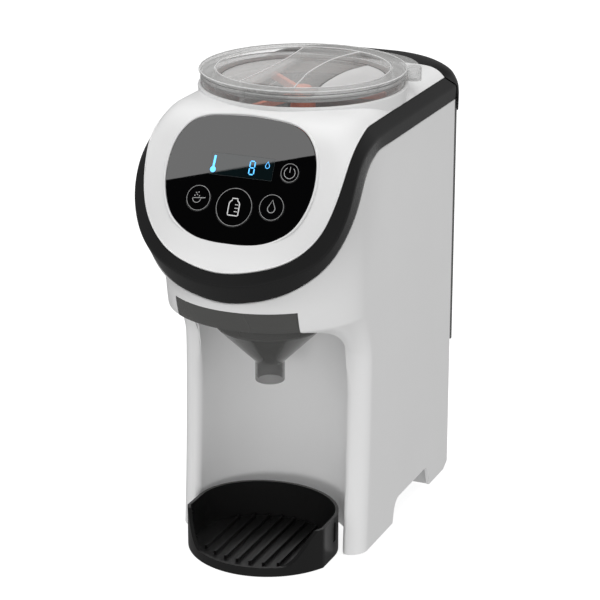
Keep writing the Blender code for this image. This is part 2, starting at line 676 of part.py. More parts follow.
def make_mixer():
    floor = CONTAINER_FLOOR_Z + 2.2 + GAP
    wheel = rod("dosing_wheel", (0, CONTAINER_Y, floor), (0, CONTAINER_Y, floor + 4.0), 64.0, SALMON,
                sides=48)
    bore = rod("wheel_bore", (0, CONTAINER_Y, 250), (0, CONTAINER_Y, 290), 6.0 + GAP, cutter=True, sides=6)
    cut(wheel, bore)
    for k in range(8):
        angle = 2 * math.pi * k / 8
        spot = (52.0 * math.cos(angle), CONTAINER_Y + 52.0 * math.sin(angle))
        pocket = rod("pocket_%d" % k, (*spot, 250), (*spot, 290), 6.5, cutter=True, sides=14)
        cut(wheel, pocket)
    place_origin(smooth(wheel), (0, CONTAINER_Y, 0))

    low = floor + 4.0 + GAP
    hub = turned("stirrer", [(0.0, 331.0), (6.0, 331.0), (9.0, 320.0), (11.0, low), (0.0, low)], 0,
                 CONTAINER_Y, SALMON, steps=24)
    for k, (angle, level) in enumerate(((15, 323.0), (135, 323.0), (255, 323.0), (75, 272.0), (195, 272.0),
                                        (315, 272.0))):
        turn = math.radians(angle)
        along_arm = Vector((math.cos(turn), math.sin(turn)))
        beside = Vector((-along_arm.y, along_arm.x)) * 2.0
        base = Vector((0.0, CONTAINER_Y))
        reach = 60.0 if level > 300.0 else 61.0
        corners = ((4, -1), (reach, -1), (reach, 1), (4, 1))
        outline = [tuple(base + along_arm * out + beside * side) for out, side in corners]
        arm = plate("arm_%d" % k, outline, level, level + 5.0, cutter=True)
        join(hub, arm)
    socket = rod("stirrer_bore", (0, CONTAINER_Y, 250), (0, CONTAINER_Y, 285), 6.0 + GAP, cutter=True,
                 sides=6)
    cut(hub, socket)
    place_origin(smooth(hub), (0, CONTAINER_Y, 0))

    shaft = rod("drive_shaft", (0, CONTAINER_Y, GEAR_Z + 6.0 + GAP), (0, CONTAINER_Y, 284.0), 6.0, STEEL,
                sides=6)
    place_origin(shaft, (0, CONTAINER_Y, 0))
    gear = plate("drive_gear", gear_outline(DRIVE_TEETH, 0, CONTAINER_Y), GEAR_Z, GEAR_Z + 6.0, ACETAL)
    place_origin(gear, (0, CONTAINER_Y, 0))
    reach = GEAR_MODULE * (DRIVE_TEETH + PINION_TEETH) / 2 + 0.3
    turn = math.pi + math.pi / PINION_TEETH
    pinion = plate("motor_pinion", gear_outline(PINION_TEETH, reach, CONTAINER_Y, turn), GEAR_Z,
                   GEAR_Z + 6.0, STEEL)
    place_origin(pinion, (reach, CONTAINER_Y, 0))
    motor = turned("gear_motor", [(0.0, 235.0), (15.5, 235.0), (15.5, 196.0), (0.0, 196.0)], reach,
                   CONTAINER_Y, STEEL, steps=32)
    smooth(motor)
    mount = plate("gearbox_plate", rectangle((0.0, CONTAINER_Y + 6.0), (139.0, 88.0), 6.0), 235.3, 238.0,
                  GREY)
    for name, x, radius in (("shaft_hole", 0.0, 7.0), ("pinion_hole", reach, 5.0)):
        cut(mount, rod(name, (x, CONTAINER_Y, 230), (x, CONTAINER_Y, 245), radius, cutter=True))
    smooth(mount)
    spindle = rod("gear_spindle", (0, CONTAINER_Y, 232.0), (0, CONTAINER_Y, GEAR_Z - GAP), 5.0, STEEL)
    smooth(spindle)


def make_powder_bay():
    r = CONTAINER_RADIUS
    profile = [(r + 2.5, 268.0), (r + 2.5, 251.0), (7.0, 251.0), (7.0, 254.5), (r + 0.4, 254.5),
               (r + 0.4, 268.0)]
    dish = turned("powder_bay", profile, 0, CONTAINER_Y, GREY, steps=40)
    drop = rod("chute_room", (0, AXIS_Y + 8, 240), (0, AXIS_Y + 8, 262), 7.0, cutter=True)
    cut(dish, drop)
    smooth(dish)
    chute = turned("powder_chute", [(7.0, 250.6), (10.5, 250.6), (9.0, 207.0), (7.2, 207.0)], 0, AXIS_Y + 8,
                   GREY, steps=28)
    smooth(chute)
    base_seal = turned("outlet_seal", [(7.2, 259.6), (9.4, 259.6), (9.4, 254.9), (7.2, 254.9)], 0, AXIS_Y + 8,
                       SILICONE, steps=28)
    smooth(base_seal)


# ---------------------------------------------------------------- water side
OUTLET_Y = 119.5


def tank_outline(inset=0.0):
    """Tank plan: narrow where it sits between the side walls, full width behind them."""
    w1, w2 = 69.6 - inset, 72.6 - inset
    corner_x, corner_y = 12.0 - inset, 8.0 - inset
    front, rear = TANK_FRONT_Y + inset, TANK_REAR_Y - inset
    step = SIDE_REAR_Y + 3.4 - inset * 0.8
    half = [(w1 - 3.0, front), (w1, front + 3.0), (w1, step), (w2, step + 1.0)]
    half += arc(corner_x, corner_y, (w2 - corner_x, rear - corner_y), 0, 90, 5)
    return half + [(-x, y) for x, y in reversed(half)]


def make_tank():
    tank = plate("water_tank", tank_outline(), TANK_BOTTOM_Z, TANK_TOP_Z, SMOKED)
    inside = plate("tank_inside", tank_outline(TANK_WALL), TANK_BOTTOM_Z + 3.0, TANK_TOP_Z + 5.0, cutter=True)
    drain = rod("tank_drain", (0, OUTLET_Y, 100), (0, OUTLET_Y, 115), 6.0, cutter=True)
    cut(tank, inside, drain)
    smooth(tank)
    valve = turned("tank_valve", [(0.0, 122.0), (3.0, 122.0), (3.0, 115.5), (8.5, 115.5), (8.5, 110.4),
                                  (3.0, 110.4), (3.0, 105.0), (0.0, 105.0)], 0, OUTLET_Y, ACETAL, steps=24)
    place_origin(smooth(valve), (0, OUTLET_Y, 0))
    coil = []
    turns, rise, per_turn = 4, 10.0, 10
    for k in range(turns * per_turn + 1):
        angle = 2 * math.pi * k / per_turn
        coil.append((5.0 * math.cos(angle), OUTLET_Y + 5.0 * math.sin(angle),
                     116.4 + rise * k / (turns * per_turn)))
    curve_rod("valve_spring", coil, 0.5, STEEL)
    cap = turned("valve_cage", [(0.0, 129.5), (11.5, 129.5), (11.5, 110.4), (9.5, 110.4), (9.5, 127.5),
                                (0.0, 127.5)], 0, OUTLET_Y, ACETAL, steps=24)
    for angle in (0, 90):
        turn = math.radians(angle)
        side = Vector((math.cos(turn), math.sin(turn))) * 14.0
        slot = rod("cage_slot_%d" % angle, (side.x, OUTLET_Y + side.y, 116),
                   (-side.x, OUTLET_Y - side.y, 116), 3.0, cutter=True, sides=12)
        cut(cap, slot)
    seal = turned("tank_seal", [(6.4, 106.6), (9.5, 106.6), (9.5, 104.6), (6.4, 104.6)], 0, OUTLET_Y, RUBBER,
                  steps=28)
    smooth(seal)
    smooth(cap)


def curve_rod(name, spots, radius, mat):
    """A thin wire through every given point."""
    curve = bpy.data.curves.new(name, "CURVE")
    curve.dimensions = "3D"
    curve.bevel_depth = radius * MM
    curve.bevel_resolution = 0
    curve.use_fill_caps = True
    spline = curve.splines.new("POLY")
    spline.points.add(len(spots) - 1)
    for spot, place in zip(spline.points, spots):
        spot.co = (*point(*place), 1.0)
    obj = bpy.data.objects.new(name, curve)
    PARTS.objects.link(obj)
    return as_mesh(obj, name, mat)


# Tank lid levels: height, half width, corner radius, how far the rear edge stands in.
LID_LEVELS = [
    (LID_SKIRT_Z, 73.9, 11.0, 1.4), (300.0, 74.5, 13.0, 0.9), (306.0, 75.1, 16.0, 0.3),
    (312.0, 75.4, 20.0, 0.0), (318.0, 74.6, 25.0, 0.3), (323.0, 73.0, 30.0, 1.2), (327.0, 68.5, 34.0, 2.4),
    (329.6, 62.0, 36.0, 4.0), (331.0, 52.0, 36.0, 7.0), (331.6, 40.0, 34.0, 16.0),
]


# Room inside the lid: height, half width, corner radii sideways and rearwards, rear edge.
# Its step rests on the rim of the tank.
LID_ROOM = [
    (280.0, 73.2, 12.3, 8.4, 141.4), (TANK_TOP_Z + 0.4, 73.2, 12.3, 8.4, 141.4),
    (TANK_TOP_Z + 1.6, 70.6, 10.0, 7.0, 139.0), (312.0, 70.6, 15.0, 15.0, 139.0),
    (318.6, 70.6, 22.0, 22.0, 139.4),
]


def lid_ring(z, half_width, radius_x, radius_y, rear):
    """Plan of one lid level, from its front left corner round the rear."""
    centre = (half_width - radius_x, rear - radius_y)
    half = [(half_width, 90.0)] + arc(radius_x, radius_y, centre, 0, 90, 7)
    return [(x, y, z) for x, y in half + [(-x, y) for x, y in reversed(half)]]


def make_tank_lid():
    rows = [lid_ring(z, w, r, r, LID_REAR_Y - stand) for z, w, r, stand in LID_LEVELS]
    lid = grid("tank_lid", rows, BLACK, closed_rows=True, caps=True)
    inside = grid("lid_inside", [lid_ring(*level) for level in LID_ROOM], None, closed_rows=True, caps=True,
                  cutter=True)
    seam = [(103.9, 340.0), (103.9, 322.9), (114.2, 317.5), (124.4, 312.2), (128.4, 306.0), (132.0, 300.0),
            (132.0, 280.0), (60.0, 280.0), (60.0, 340.0)]
    front = plate("lid_seam", seam, -90, 90, cutter=True, side=True)
    cut(lid, inside, front)
    return smooth(lid)


def make_rear():
    rear = plate("rear_panel", rectangle((0.0, 0.0), (139.6, 77.6), 3.0), 0.0, 2.6, WHITE)
    rear.matrix_world = (Matrix.Translation(point(0.0, 127.8, 61.6)) @ Matrix.Rotation(math.pi / 2, 4, "X")
                         @ Matrix.Translation(-point(0.0, 0.0, 0.0)) @ rear.matrix_world)
    hole = rod("gland_hole", (45.0, 115.0, 36.0), (45.0, 140.0, 36.0), 5.3, cutter=True)
    cut(rear, hole)
    smooth(rear)
    profile = [(2.6, 8.0), (7.5, 8.0), (7.5, 5.5), (5.0, 5.5), (5.0, -1.5), (2.6, -1.5)]
    gland = turned("cord_gland", profile, 0, 0, RUBBER, steps=28)
    gland.matrix_world = Matrix.Translation(point(45.0, 122.6, 36.0)) @ Matrix.Rotation(-math.pi / 2, 4, "X")
    smooth(gland)
    shelf = box("tank_bay", (-69.8, 101.8, 101.2), (69.8, 127.6, 104.2), GREY)
    wall = box("bay_upright", (-69.8, 101.8, 101.2), (69.8, 104.2, 298.0), cutter=True)
    join(shelf, wall)
    drain = rod("shelf_drain", (0, OUTLET_Y, 90), (0, OUTLET_Y, 110), 5.3, cutter=True)
    cut(shelf, drain)
    socket = turned("tank_socket", [(3.0, 104.4), (5.0, 104.4), (5.0, 88.0), (3.0, 88.0)], 0, OUTLET_Y, GREY,
                    steps=24)
    smooth(socket)


def make_water_line():
    box("water_pump", (-58.2, 58, 22.6), (-18, 92, 58), GREY, edge=3.0)
    pump_motor = rod("pump_motor", (-39, 57.6, 42), (-39, 22, 42), 15.0, STEEL)
    smooth(pump_motor)
    heater = turned("water_heater", [(0.0, 196.0), (19.0, 196.0), (22.0, 192.0), (22.0, 80.0), (19.0, 76.0),
                                     (0.0, 76.0)], -40, 60, STEEL, steps=32)
    smooth(heater)
    route = [(0, OUTLET_Y, 87.2), (0, OUTLET_Y, 76), (-2, 105, 60), (-8, 82, 47), (-16.2, 75, 44)]
    hose("suction_hose", route, 3.5, SILICONE)
    hose("feed_hose", [(-39, 75, 58.6), (-39, 74, 63), (-40, 64, 68), (-40, 60, 74.2)], 3.5, SILICONE)
    hose("outlet_hose", [(-40, 60, 197.0), (-40, 58, 206), (-38, 40, 216), (-30, 4, 222), (-23, -22, 220),
                         (-20.5, -31, 215.8)], 3.0, SILICONE)
    nozzle = rod("water_nozzle", (-20.0, -36.0, 212.8), (-15.5, -46, 207.4), 3.6, GREY)
    smooth(nozzle)


def make_electronics():
    box("main_board", (64.0, 12.0, 96.0), (65.8, 88.0, 186.0), BOARD)
    box("power_supply", (14.0, 30.0, 22.6), (58.0, 92.0, 66.6), GREY, edge=2.0)
    hose("wire_harness", [(61.0, 20, 178), (60, 8, 196), (58, -12, 212), (52, -34, 226), (44, -62, 240),
                          (34, -84, 262)], 2.2, RUBBER, resolution=0)


# ---------------------------------------------------------------- base, funnel, tray
def make_base():
    outline = ([(-69.8, 8.0)] + arc(57.6, 57.6, (0, AXIS_Y), 98, 82, 4) +
               [(69.8, 8.0), (69.8, 118.0), (-69.8, 118.0)])
    base = plate("base_plate", outline, ARCH_Z + 0.3, ARCH_Z + 3.0, GREY)
    smooth(base)
    box("rear_foot", (-69.8, 88.3, GROUND_GAP), (69.8, 116.6, ARCH_Z), WHITE)
    for side, name in ((-1, "left"), (1, "right")):
        box("front_%s_foot" % name, (side * 64 - 5.6, -34, 0.0), (side * 64 + 5.6, 6, 12.0), RUBBER)
        box("rear_%s_pad" % name, (side * 56 - 10, 94, 0.0), (side * 56 + 10, 111, GROUND_GAP - GAP), RUBBER)
    spots = ((-60, 14), (60, 14), (-60, 84), (60, 84))
    for k, (x, y) in enumerate(spots):
        profile = [(0.0, 25.0), (1.5, 25.0), (1.5, ARCH_Z), (3.2, ARCH_Z), (3.2, ARCH_Z - 2.0),
                   (0.0, ARCH_Z - 2.0)]
        screw = turned("base_screw_%d" % (k + 1), profile, x, y, STEEL, steps=16)
        smooth(screw)
        cut(base, rod("screw_hole_%d" % k, (x, y, 10), (x, y, 40), 1.8, cutter=True, sides=16))


def dish_outline(half_width, front, z):
    """Plan of the funnel's dish at one height: bowed front, straight sides, round back."""
    swing = math.degrees(math.asin(half_width / HALF_WIDTH))
    outline = arc(HALF_WIDTH, front, (0, AXIS_Y), -90 - swing, -90 + swing, 16)
    outline += [(half_width, AXIS_Y)] + arc(half_width, half_width, (0, AXIS_Y), 10, 170, 12)
    return [(x, y, z) for x, y in outline + [(-half_width, AXIS_Y)]]


def make_funnel():
    z0, z1 = FUNNEL_BAND_Z
    half_width = 45.9
    front_low, front_high = HALF_WIDTH - BAND_SETBACK, HALF_WIDTH
    funnel = grid("funnel", [dish_outline(half_width, front_low, z0 - 1.6),
                             dish_outline(half_width, front_high, z1)], SMOKED, closed_rows=True, caps=True)
    wall = 2.0
    rise = (front_high - front_low) / (z1 - z0 + 1.6)
    hollow = grid("funnel_hollow", [
        dish_outline(half_width - wall, front_low - wall + rise * 2.0, z0 + 0.4),
        dish_outline(half_width - wall, front_high - wall + rise * 5.0, z1 + 5.0)], None,
        closed_rows=True, caps=True, cutter=True)
    cone_profile = [(0.0, z0), (CONE_RADIUS, z0), (CONE_RADIUS, CONE_TOP_Z), (SPOUT_RADIUS, SPOUT_Z[1]),
                    (SPOUT_RADIUS, SPOUT_Z[0]), (0.0, SPOUT_Z[0])]
    cone = turned("funnel_cone", cone_profile, 0, AXIS_Y, steps=32, cutter=True)
    t = 1.7
    bore_profile = [(0.0, z0 + 4.0), (CONE_RADIUS - t, z0 + 4.0), (CONE_RADIUS - t, CONE_TOP_Z + 0.8),
                    (SPOUT_RADIUS - t, SPOUT_Z[1] + 0.8), (SPOUT_RADIUS - t, SPOUT_Z[0] - 3),
                    (0.0, SPOUT_Z[0] - 3)]
    bore = turned("funnel_bore", bore_profile, 0, AXIS_Y, steps=32, cutter=True)
    join(funnel, cone)
    cut(funnel, hollow, bore)
    smooth(funnel)
    for side, name in ((-1, "left"), (1, "right")):
        low = (side * 49.4 - 3.0, AXIS_Y - 22.0, 189.0)
        high = (side * 49.4 + 3.0, AXIS_Y + 40.0, 200.0)
        box("funnel_rail_%s" % name, low, high, GREY)


def make_tray():
    turn = math.degrees(math.acos(TRAY_HALF_WIDTH / TRAY_RADIUS))
    outline = arc(TRAY_RADIUS, TRAY_FRONT, (0, AXIS_Y), 180 + turn, 360 - turn, 18)
    outline += arc(TRAY_HALF_WIDTH, TRAY_BACK, (0, AXIS_Y - 8.0), 0, 180, 18)
    middle = Vector((0.0, AXIS_Y))
    tray = plate("drip_tray", outline, 0.6, TRAY_BACK_Z, TRAY_BLACK)
    inner = [tuple(Vector(s) - (Vector(s) - middle).normalized() * TRAY_WALL) for s in outline]
    hollow = plate("tray_hollow", inner, 3.2, TRAY_BACK_Z + 5, cutter=True)
    low_y, high_y = TRAY_SCOOP_Y
    lip = [(-130.0, 40.0), (-130.0, TRAY_LIP_Z)]
    climb = TRAY_BACK_Z - TRAY_LIP_Z + 1.0
    lip += [(low_y + (high_y - low_y) * f, TRAY_LIP_Z + climb * f * f * (3 - 2 * f))
            for f in (0.0, 0.15, 0.3, 0.5, 0.7, 0.85, 1.0)]
    lip.append((high_y, 40.0))
    scoop = plate("tray_scoop", lip, -90, 90, cutter=True, side=True)
    cut(tray, hollow, scoop)
    for k in range(8):
        x = -35.0 + 10.0 * k
        reach = math.sqrt(1 - (x / 50.0) ** 2) * 41.0
        rib = plate("tray_rib_%d" % k, rectangle((x, AXIS_Y - 9.0), (3.0, 2 * reach), 1.4), 2.6, 6.0,
                    cutter=True)
        join(tray, rib)
    smooth(tray)
    place_origin(tray, (0, AXIS_Y, 0))


GLASS_ROOM = panel_plate("glass_room", glass_outline(GAP), -12.0, 14.0, cutter=True)

make_housing()
make_cover()
make_band()
make_bay_wall()
make_panel()
make_container()
make_mixer()
make_powder_bay()
make_tank()
make_tank_lid()
make_rear()
make_water_line()
make_electronics()
make_base()
make_funnel()
make_tray()
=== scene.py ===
"""Looks of the formula dispenser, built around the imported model.

Tables are in millimetres in the design frame, whose Y is shifted by DATUM_Y from the world's.
"""
import json
import math

import bmesh
import bpy
from mathutils import Matrix, Vector

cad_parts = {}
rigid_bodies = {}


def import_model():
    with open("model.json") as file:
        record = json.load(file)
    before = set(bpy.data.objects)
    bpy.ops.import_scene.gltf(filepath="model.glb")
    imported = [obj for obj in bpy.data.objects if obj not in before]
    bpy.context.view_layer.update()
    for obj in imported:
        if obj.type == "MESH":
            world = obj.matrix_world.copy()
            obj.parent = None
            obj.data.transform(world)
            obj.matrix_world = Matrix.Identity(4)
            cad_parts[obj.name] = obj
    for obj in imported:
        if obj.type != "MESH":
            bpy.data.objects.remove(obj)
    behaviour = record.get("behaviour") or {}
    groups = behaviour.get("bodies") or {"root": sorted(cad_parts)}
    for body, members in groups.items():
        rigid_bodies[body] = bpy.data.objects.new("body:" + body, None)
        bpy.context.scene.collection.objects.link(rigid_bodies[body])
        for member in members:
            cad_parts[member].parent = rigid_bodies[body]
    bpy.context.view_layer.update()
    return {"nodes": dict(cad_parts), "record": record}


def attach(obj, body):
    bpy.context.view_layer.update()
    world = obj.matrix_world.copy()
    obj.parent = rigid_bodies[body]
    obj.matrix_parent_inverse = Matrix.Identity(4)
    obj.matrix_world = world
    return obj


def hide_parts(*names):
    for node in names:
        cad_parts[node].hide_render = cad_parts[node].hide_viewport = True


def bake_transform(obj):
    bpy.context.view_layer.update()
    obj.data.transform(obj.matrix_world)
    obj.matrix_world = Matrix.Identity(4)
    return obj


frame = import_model()
NODES = frame["nodes"]

MM = 0.001
DATUM_Y = -3.6
HALF_WIDTH = 73.0
AXIS_Y = -51.0                  # upright axis shared by the front arc, the bottle bay and the spout
WALL = 2.6
GAP = 0.3
SIDE_REAR_Y = 128.0
GROUND_GAP = 1.5
BAY_RADIUS = 57.3
BAY_WALL = 2.2
BAY_CEILING_Z = 183.0
COVE_RISE = 16.0                # height of the cove between the bay's wall and its ceiling
MOUTH_RADIUS = 5.0              # rounding of the bay's upright edges
MOUTH_TOP_Z = 152.0             # where that rounding has died out
ARCH_Z = 19.0
PANEL_LEAN = math.radians(27.0)
PANEL_BASE = Vector((0.0, -121.0, 251.0))
COVER_WALL = 2.4
DECK_HOLE_RADIUS = 70.4
COLLAR_Z = 331.7
BAND_DEPTH = 2.4
CONTAINER_Y = 9.0
CONTAINER_RADIUS = 67.5
FLANGE_RADIUS = 72.3
LID_RADIUS = 74.5
LID_TOP_Z = 345.0
LID_POCKET_RADIUS = 61.2
CONTAINER_FLOOR_Z = 260.0
MIXER_WHEEL_RADIUS = 64.0
MIXER_SOCKET_RADIUS = 6.3
CONE_RADIUS = 40.0
CONE_TOP_Z = 171.0
SPOUT_RADIUS = 10.7
CUT, JOIN = "DIFFERENCE", "UNION"

STATIONS = [
    ((0.0, -135.0, 233.5), (0.0, -136.8, 225.0), (0.0, -128.0, 209.5), (-135.0, 233.5)),
    ((19.0, -133.6, 236.0), (20.0, -136.0, 226.5), (18.5, -127.6, 212.3), (-132.5, 237.0)),
    ((37.5, -128.4, 240.3), (40.0, -131.5, 232.0), (37.0, -125.0, 217.2), (-128.3, 242.0)),
    ((52.0, -120.8, 247.2), (57.0, -123.8, 239.0), (52.0, -118.5, 224.6), (-122.6, 250.0)),
    ((63.8, -113.1, 259.4), (69.5, -114.8, 248.0), (64.0, -109.5, 234.0), (-115.0, 263.0)),
    ((69.5, -106.8, 273.5), (77.2, -107.5, 262.5), (72.5, -101.0, 246.0), (-107.0, 278.5)),
    ((72.8, -99.2, 287.4), (81.0, -99.5, 278.0), (77.5, -89.0, 261.5), (-99.5, 293.2)),
    ((74.4, -90.5, 302.0), (81.2, -90.0, 294.0), (77.5, -73.0, 275.0), (-91.5, 309.0)),
    ((74.9, -78.4, 313.9), (79.8, -74.0, 306.0), (75.8, -58.5, 290.5), (-82.5, 326.0)),
    ((74.0, -60.0, 320.5), (78.0, -52.0, 311.0), (73.6, -37.0, 299.3), (-66.0, 331.0)),
    ((73.2, -46.0, 322.7), (76.3, -32.0, 312.0), (73.0, -14.0, 300.3), (-46.0, 331.5)),
    ((73.0, -10.0, 322.7), (75.5, -5.0, 312.0), (73.0, 0.0, 300.0), (-10.0, 331.5)),
    ((73.0, 103.0, 322.7), (75.5, 123.5, 312.0), (73.0, 131.0, 300.0), (103.0, 331.0)),
]
COVER_ROLL = [4.0, 4.0, 4.0, 4.0, 4.0, 4.0, 4.5, 5.0, 7.0, 10.0, 12.0, 12.0, 12.0]
SHELL_SECTIONS = [
    (201.0, -124.0, 73.0, 73.0),
    (189.0, -119.2, 73.0, 68.2),
    (186.0, -111.0, 64.0, 60.5),
    (182.5, -93.0, 44.0, 46.0),
    (177.5, -74.0, 28.0, 29.0),
    (170.0, -60.0, 18.0, 19.0),
    (160.0, -51.0, 13.5, 13.5),
    (146.0, -47.3, 12.0, 12.0),
    (100.0, -48.3, 12.0, 12.0),
    (50.0, -51.0, 12.5, 12.5),
    (GROUND_GAP, -55.0, 13.0, 13.0),
]
GLASS_OUTLINE = [
    (0.0, 88.5), (22.0, 87.2), (33.0, 85.2), (42.0, 80.8), (49.0, 72.5), (53.2, 62.0),
    (54.8, 49.0), (54.0, 37.0), (50.6, 25.0), (44.5, 14.5), (35.0, 6.8), (24.0, 2.0), (12.0, 0.0),
]
KEYS = {
    "start_key": (0.0, 25.0, 13.4),
    "powder_key": (-27.3, 28.4, 9.0),
    "unit_key": (27.3, 28.0, 9.1),
    "power_key": (35.8, 52.8, 6.7),
}
KEY_BODY = {"start_key": "start", "powder_key": "powder", "unit_key": "unit", "power_key": "power"}


# ---- materials
def nodes_of(name):
    made = bpy.data.materials.new(name)
    made.use_nodes = True
    tree = made.node_tree
    return made, tree, tree.nodes["Principled BSDF"]


def add(tree, kind, **values):
    node = tree.nodes.new(kind)
    for key, value in values.items():
        if hasattr(node, key):
            setattr(node, key, value)
        else:
            node.inputs[key.replace("_", " ")].default_value = value
    return node


def noise(tree, scale, detail, roughness=0.5):
    where = add(tree, "ShaderNodeTexCoord")
    made = add(tree, "ShaderNodeTexNoise", Scale=scale, Detail=detail, Roughness=roughness)
    tree.links.new(where.outputs["Object"], made.inputs["Vector"])
    return made


def remap(tree, source, low, high, start=0.3, stop=0.7):
    made = add(tree, "ShaderNodeMapRange")
    for key, value in (("From Min", start), ("From Max", stop), ("To Min", low), ("To Max", high)):
        made.inputs[key].default_value = value
    tree.links.new(source, made.inputs["Value"])
    return made.outputs["Result"]


def tint(tree, source, dark, light):
    ramp = add(tree, "ShaderNodeValToRGB")
    for stop, place_at, colour in zip(ramp.color_ramp.elements, (0.3, 0.7), (dark, light)):
        stop.position = place_at
        stop.color = (*colour, 1.0)
    tree.links.new(source, ramp.inputs["Fac"])
    return ramp.outputs["Color"]


def surface(name, dark, light, rough, drift, patch, grain, bump):
    """Slow colour drift, gloss uneven between two levels of roughness, and a fine surface grain.

    drift, patch and grain are the scale, detail and roughness of their noise; bump is (strength, depth).
    """
    made, tree, shader = nodes_of(name)
    tree.links.new(tint(tree, noise(tree, *drift).outputs["Fac"], dark, light), shader.inputs["Base Color"])
    tree.links.new(remap(tree, noise(tree, *patch).outputs["Fac"], *rough), shader.inputs["Roughness"])
    relief = add(tree, "ShaderNodeBump", Strength=bump[0], Distance=bump[1])
    tree.links.new(noise(tree, *grain).outputs["Fac"], relief.inputs["Height"])
    tree.links.new(relief.outputs["Normal"], shader.inputs["Normal"])
    return made, tree, shader


def moulded(name, colour, rough, spread, grain, strength, depth, metallic=0.0, coat=0.0, coat_rough=0.1):
    """Moulded plastic, rubber or plain metal."""
    dark = tuple(max(0.0, c * (1.0 - spread)) for c in colour)
    light = tuple(min(1.0, c * (1.0 + spread)) for c in colour)
    made, _, shader = surface(name, dark, light, (rough * 0.9, rough * 1.12), (9.0, 3.0), (60.0, 5.0, 0.6),
                              (grain, 3.0, 0.6), (strength, depth))
    shader.inputs["Metallic"].default_value = metallic
    shader.inputs["Coat Weight"].default_value = coat
    shader.inputs["Coat Roughness"].default_value = coat_rough
    return made


def see_through(name, colour, face_on, edge_on, rough, blend=0.35, thin_below=None):
    """Thin see-through plastic, denser where its wall is seen edge-on.

    thin_below is a height and the share of the density that is left under it.
    """
    dark = tuple(c * 0.95 for c in colour)
    made, tree, shader = surface(name, dark, colour, (rough * 0.8, rough * 1.3), (14.0, 3.0), (45.0, 4.0),
                                 (700.0, 2.0), (0.05, 0.00004))
    weight = add(tree, "ShaderNodeLayerWeight", Blend=blend)
    density = remap(tree, weight.outputs["Facing"], face_on, edge_on, 0.0, 1.0)
    if thin_below:
        where = add(tree, "ShaderNodeTexCoord")
        split = add(tree, "ShaderNodeSeparateXYZ")
        tree.links.new(where.outputs["Object"], split.inputs["Vector"])
        height, share = thin_below
        thinning = remap(tree, split.outputs["Z"], share, 1.0, height, height + 0.003)
        product = add(tree, "ShaderNodeMath", operation="MULTIPLY")
        tree.links.new(density, product.inputs[0])
        tree.links.new(thinning, product.inputs[1])
        density = product.outputs["Value"]
    tree.links.new(density, shader.inputs["Alpha"])
    return made


def glowing(name, colour, power):
    made, tree, shader = nodes_of(name)
    cells = noise(tree, 2500.0, 2.0)
    dark = tuple(c * 0.85 for c in colour)
    tree.links.new(tint(tree, cells.outputs["Fac"], dark, colour), shader.inputs["Emission Color"])
    shader.inputs["Emission Strength"].default_value = power
    shader.inputs["Base Color"].default_value = (*colour, 1.0)
    shader.inputs["Roughness"].default_value = 0.3
    return made


WHITE = moulded("white_plastic", (0.84, 0.84, 0.84), 0.34, 0.008, 2200.0, 0.06, 0.00004,
                coat=0.12, coat_rough=0.2)
BLACK = moulded("black_trim", (0.017, 0.017, 0.0172), 0.2, 0.08, 2600.0, 0.05, 0.00004,
                coat=0.2, coat_rough=0.08)
GLASS = moulded("black_glass", (0.0006, 0.0006, 0.0008), 0.008, 0.08, 500.0, 0.001, 0.00001)
KEYCAP = moulded("key_caps", (0.0006, 0.0006, 0.0008), 0.008, 0.08, 500.0, 0.001, 0.00001)
TRAY_BLACK = moulded("tray_plastic", (0.011, 0.011, 0.011), 0.3, 0.1, 1500.0, 0.2, 0.00008)
GREY = moulded("grey_plastic", (0.32, 0.33, 0.34), 0.5, 0.04, 1400.0, 0.2, 0.00008)
RUBBER = moulded("rubber", (0.028, 0.028, 0.028), 0.75, 0.12, 900.0, 0.4, 0.00012)
STEEL = moulded("steel", (0.6, 0.6, 0.6), 0.3, 0.05, 1200.0, 0.1, 0.00004, metallic=1.0)
SALMON = moulded("mixer_plastic", (0.86, 0.24, 0.13), 0.36, 0.05, 1600.0, 0.1, 0.00005)
BOARD = moulded("board", (0.03, 0.17, 0.08), 0.45, 0.25, 600.0, 0.3, 0.0001)
ACETAL = moulded("acetal", (0.8, 0.78, 0.72), 0.4, 0.03, 1500.0, 0.1, 0.00005)
SILICONE = moulded("silicone", (0.72, 0.73, 0.73), 0.5, 0.03, 900.0, 0.2, 0.00006)
CLEAR = see_through("clear_plastic", (0.62, 0.62, 0.615), 0.07, 0.8, 0.05, 0.3)
LID_CLEAR = see_through("lid_clear_plastic", (0.80, 0.80, 0.79), 0.08, 0.55, 0.05, 0.3)
RIM_CLEAR = see_through("rim_clear_plastic", (0.34, 0.34, 0.335), 0.16, 0.5, 0.05, 0.3)
# painted highlight: a near-white, nearly opaque colour for lines along the clear lid's edges, standing in for
# their glints
HIGHLIGHT_LINES = see_through("edge_clear_plastic", (0.90, 0.90, 0.90), 0.75, 0.95, 0.1, 0.3)
# painted light: a pale see-through colour for a sheet in the lid's right pocket, brightening it where light
# comes through
POCKET_LIGHT_SHEET = see_through("pocket_clear_plastic", (0.92, 0.92, 0.92), 0.38, 0.75, 0.05, 0.3)
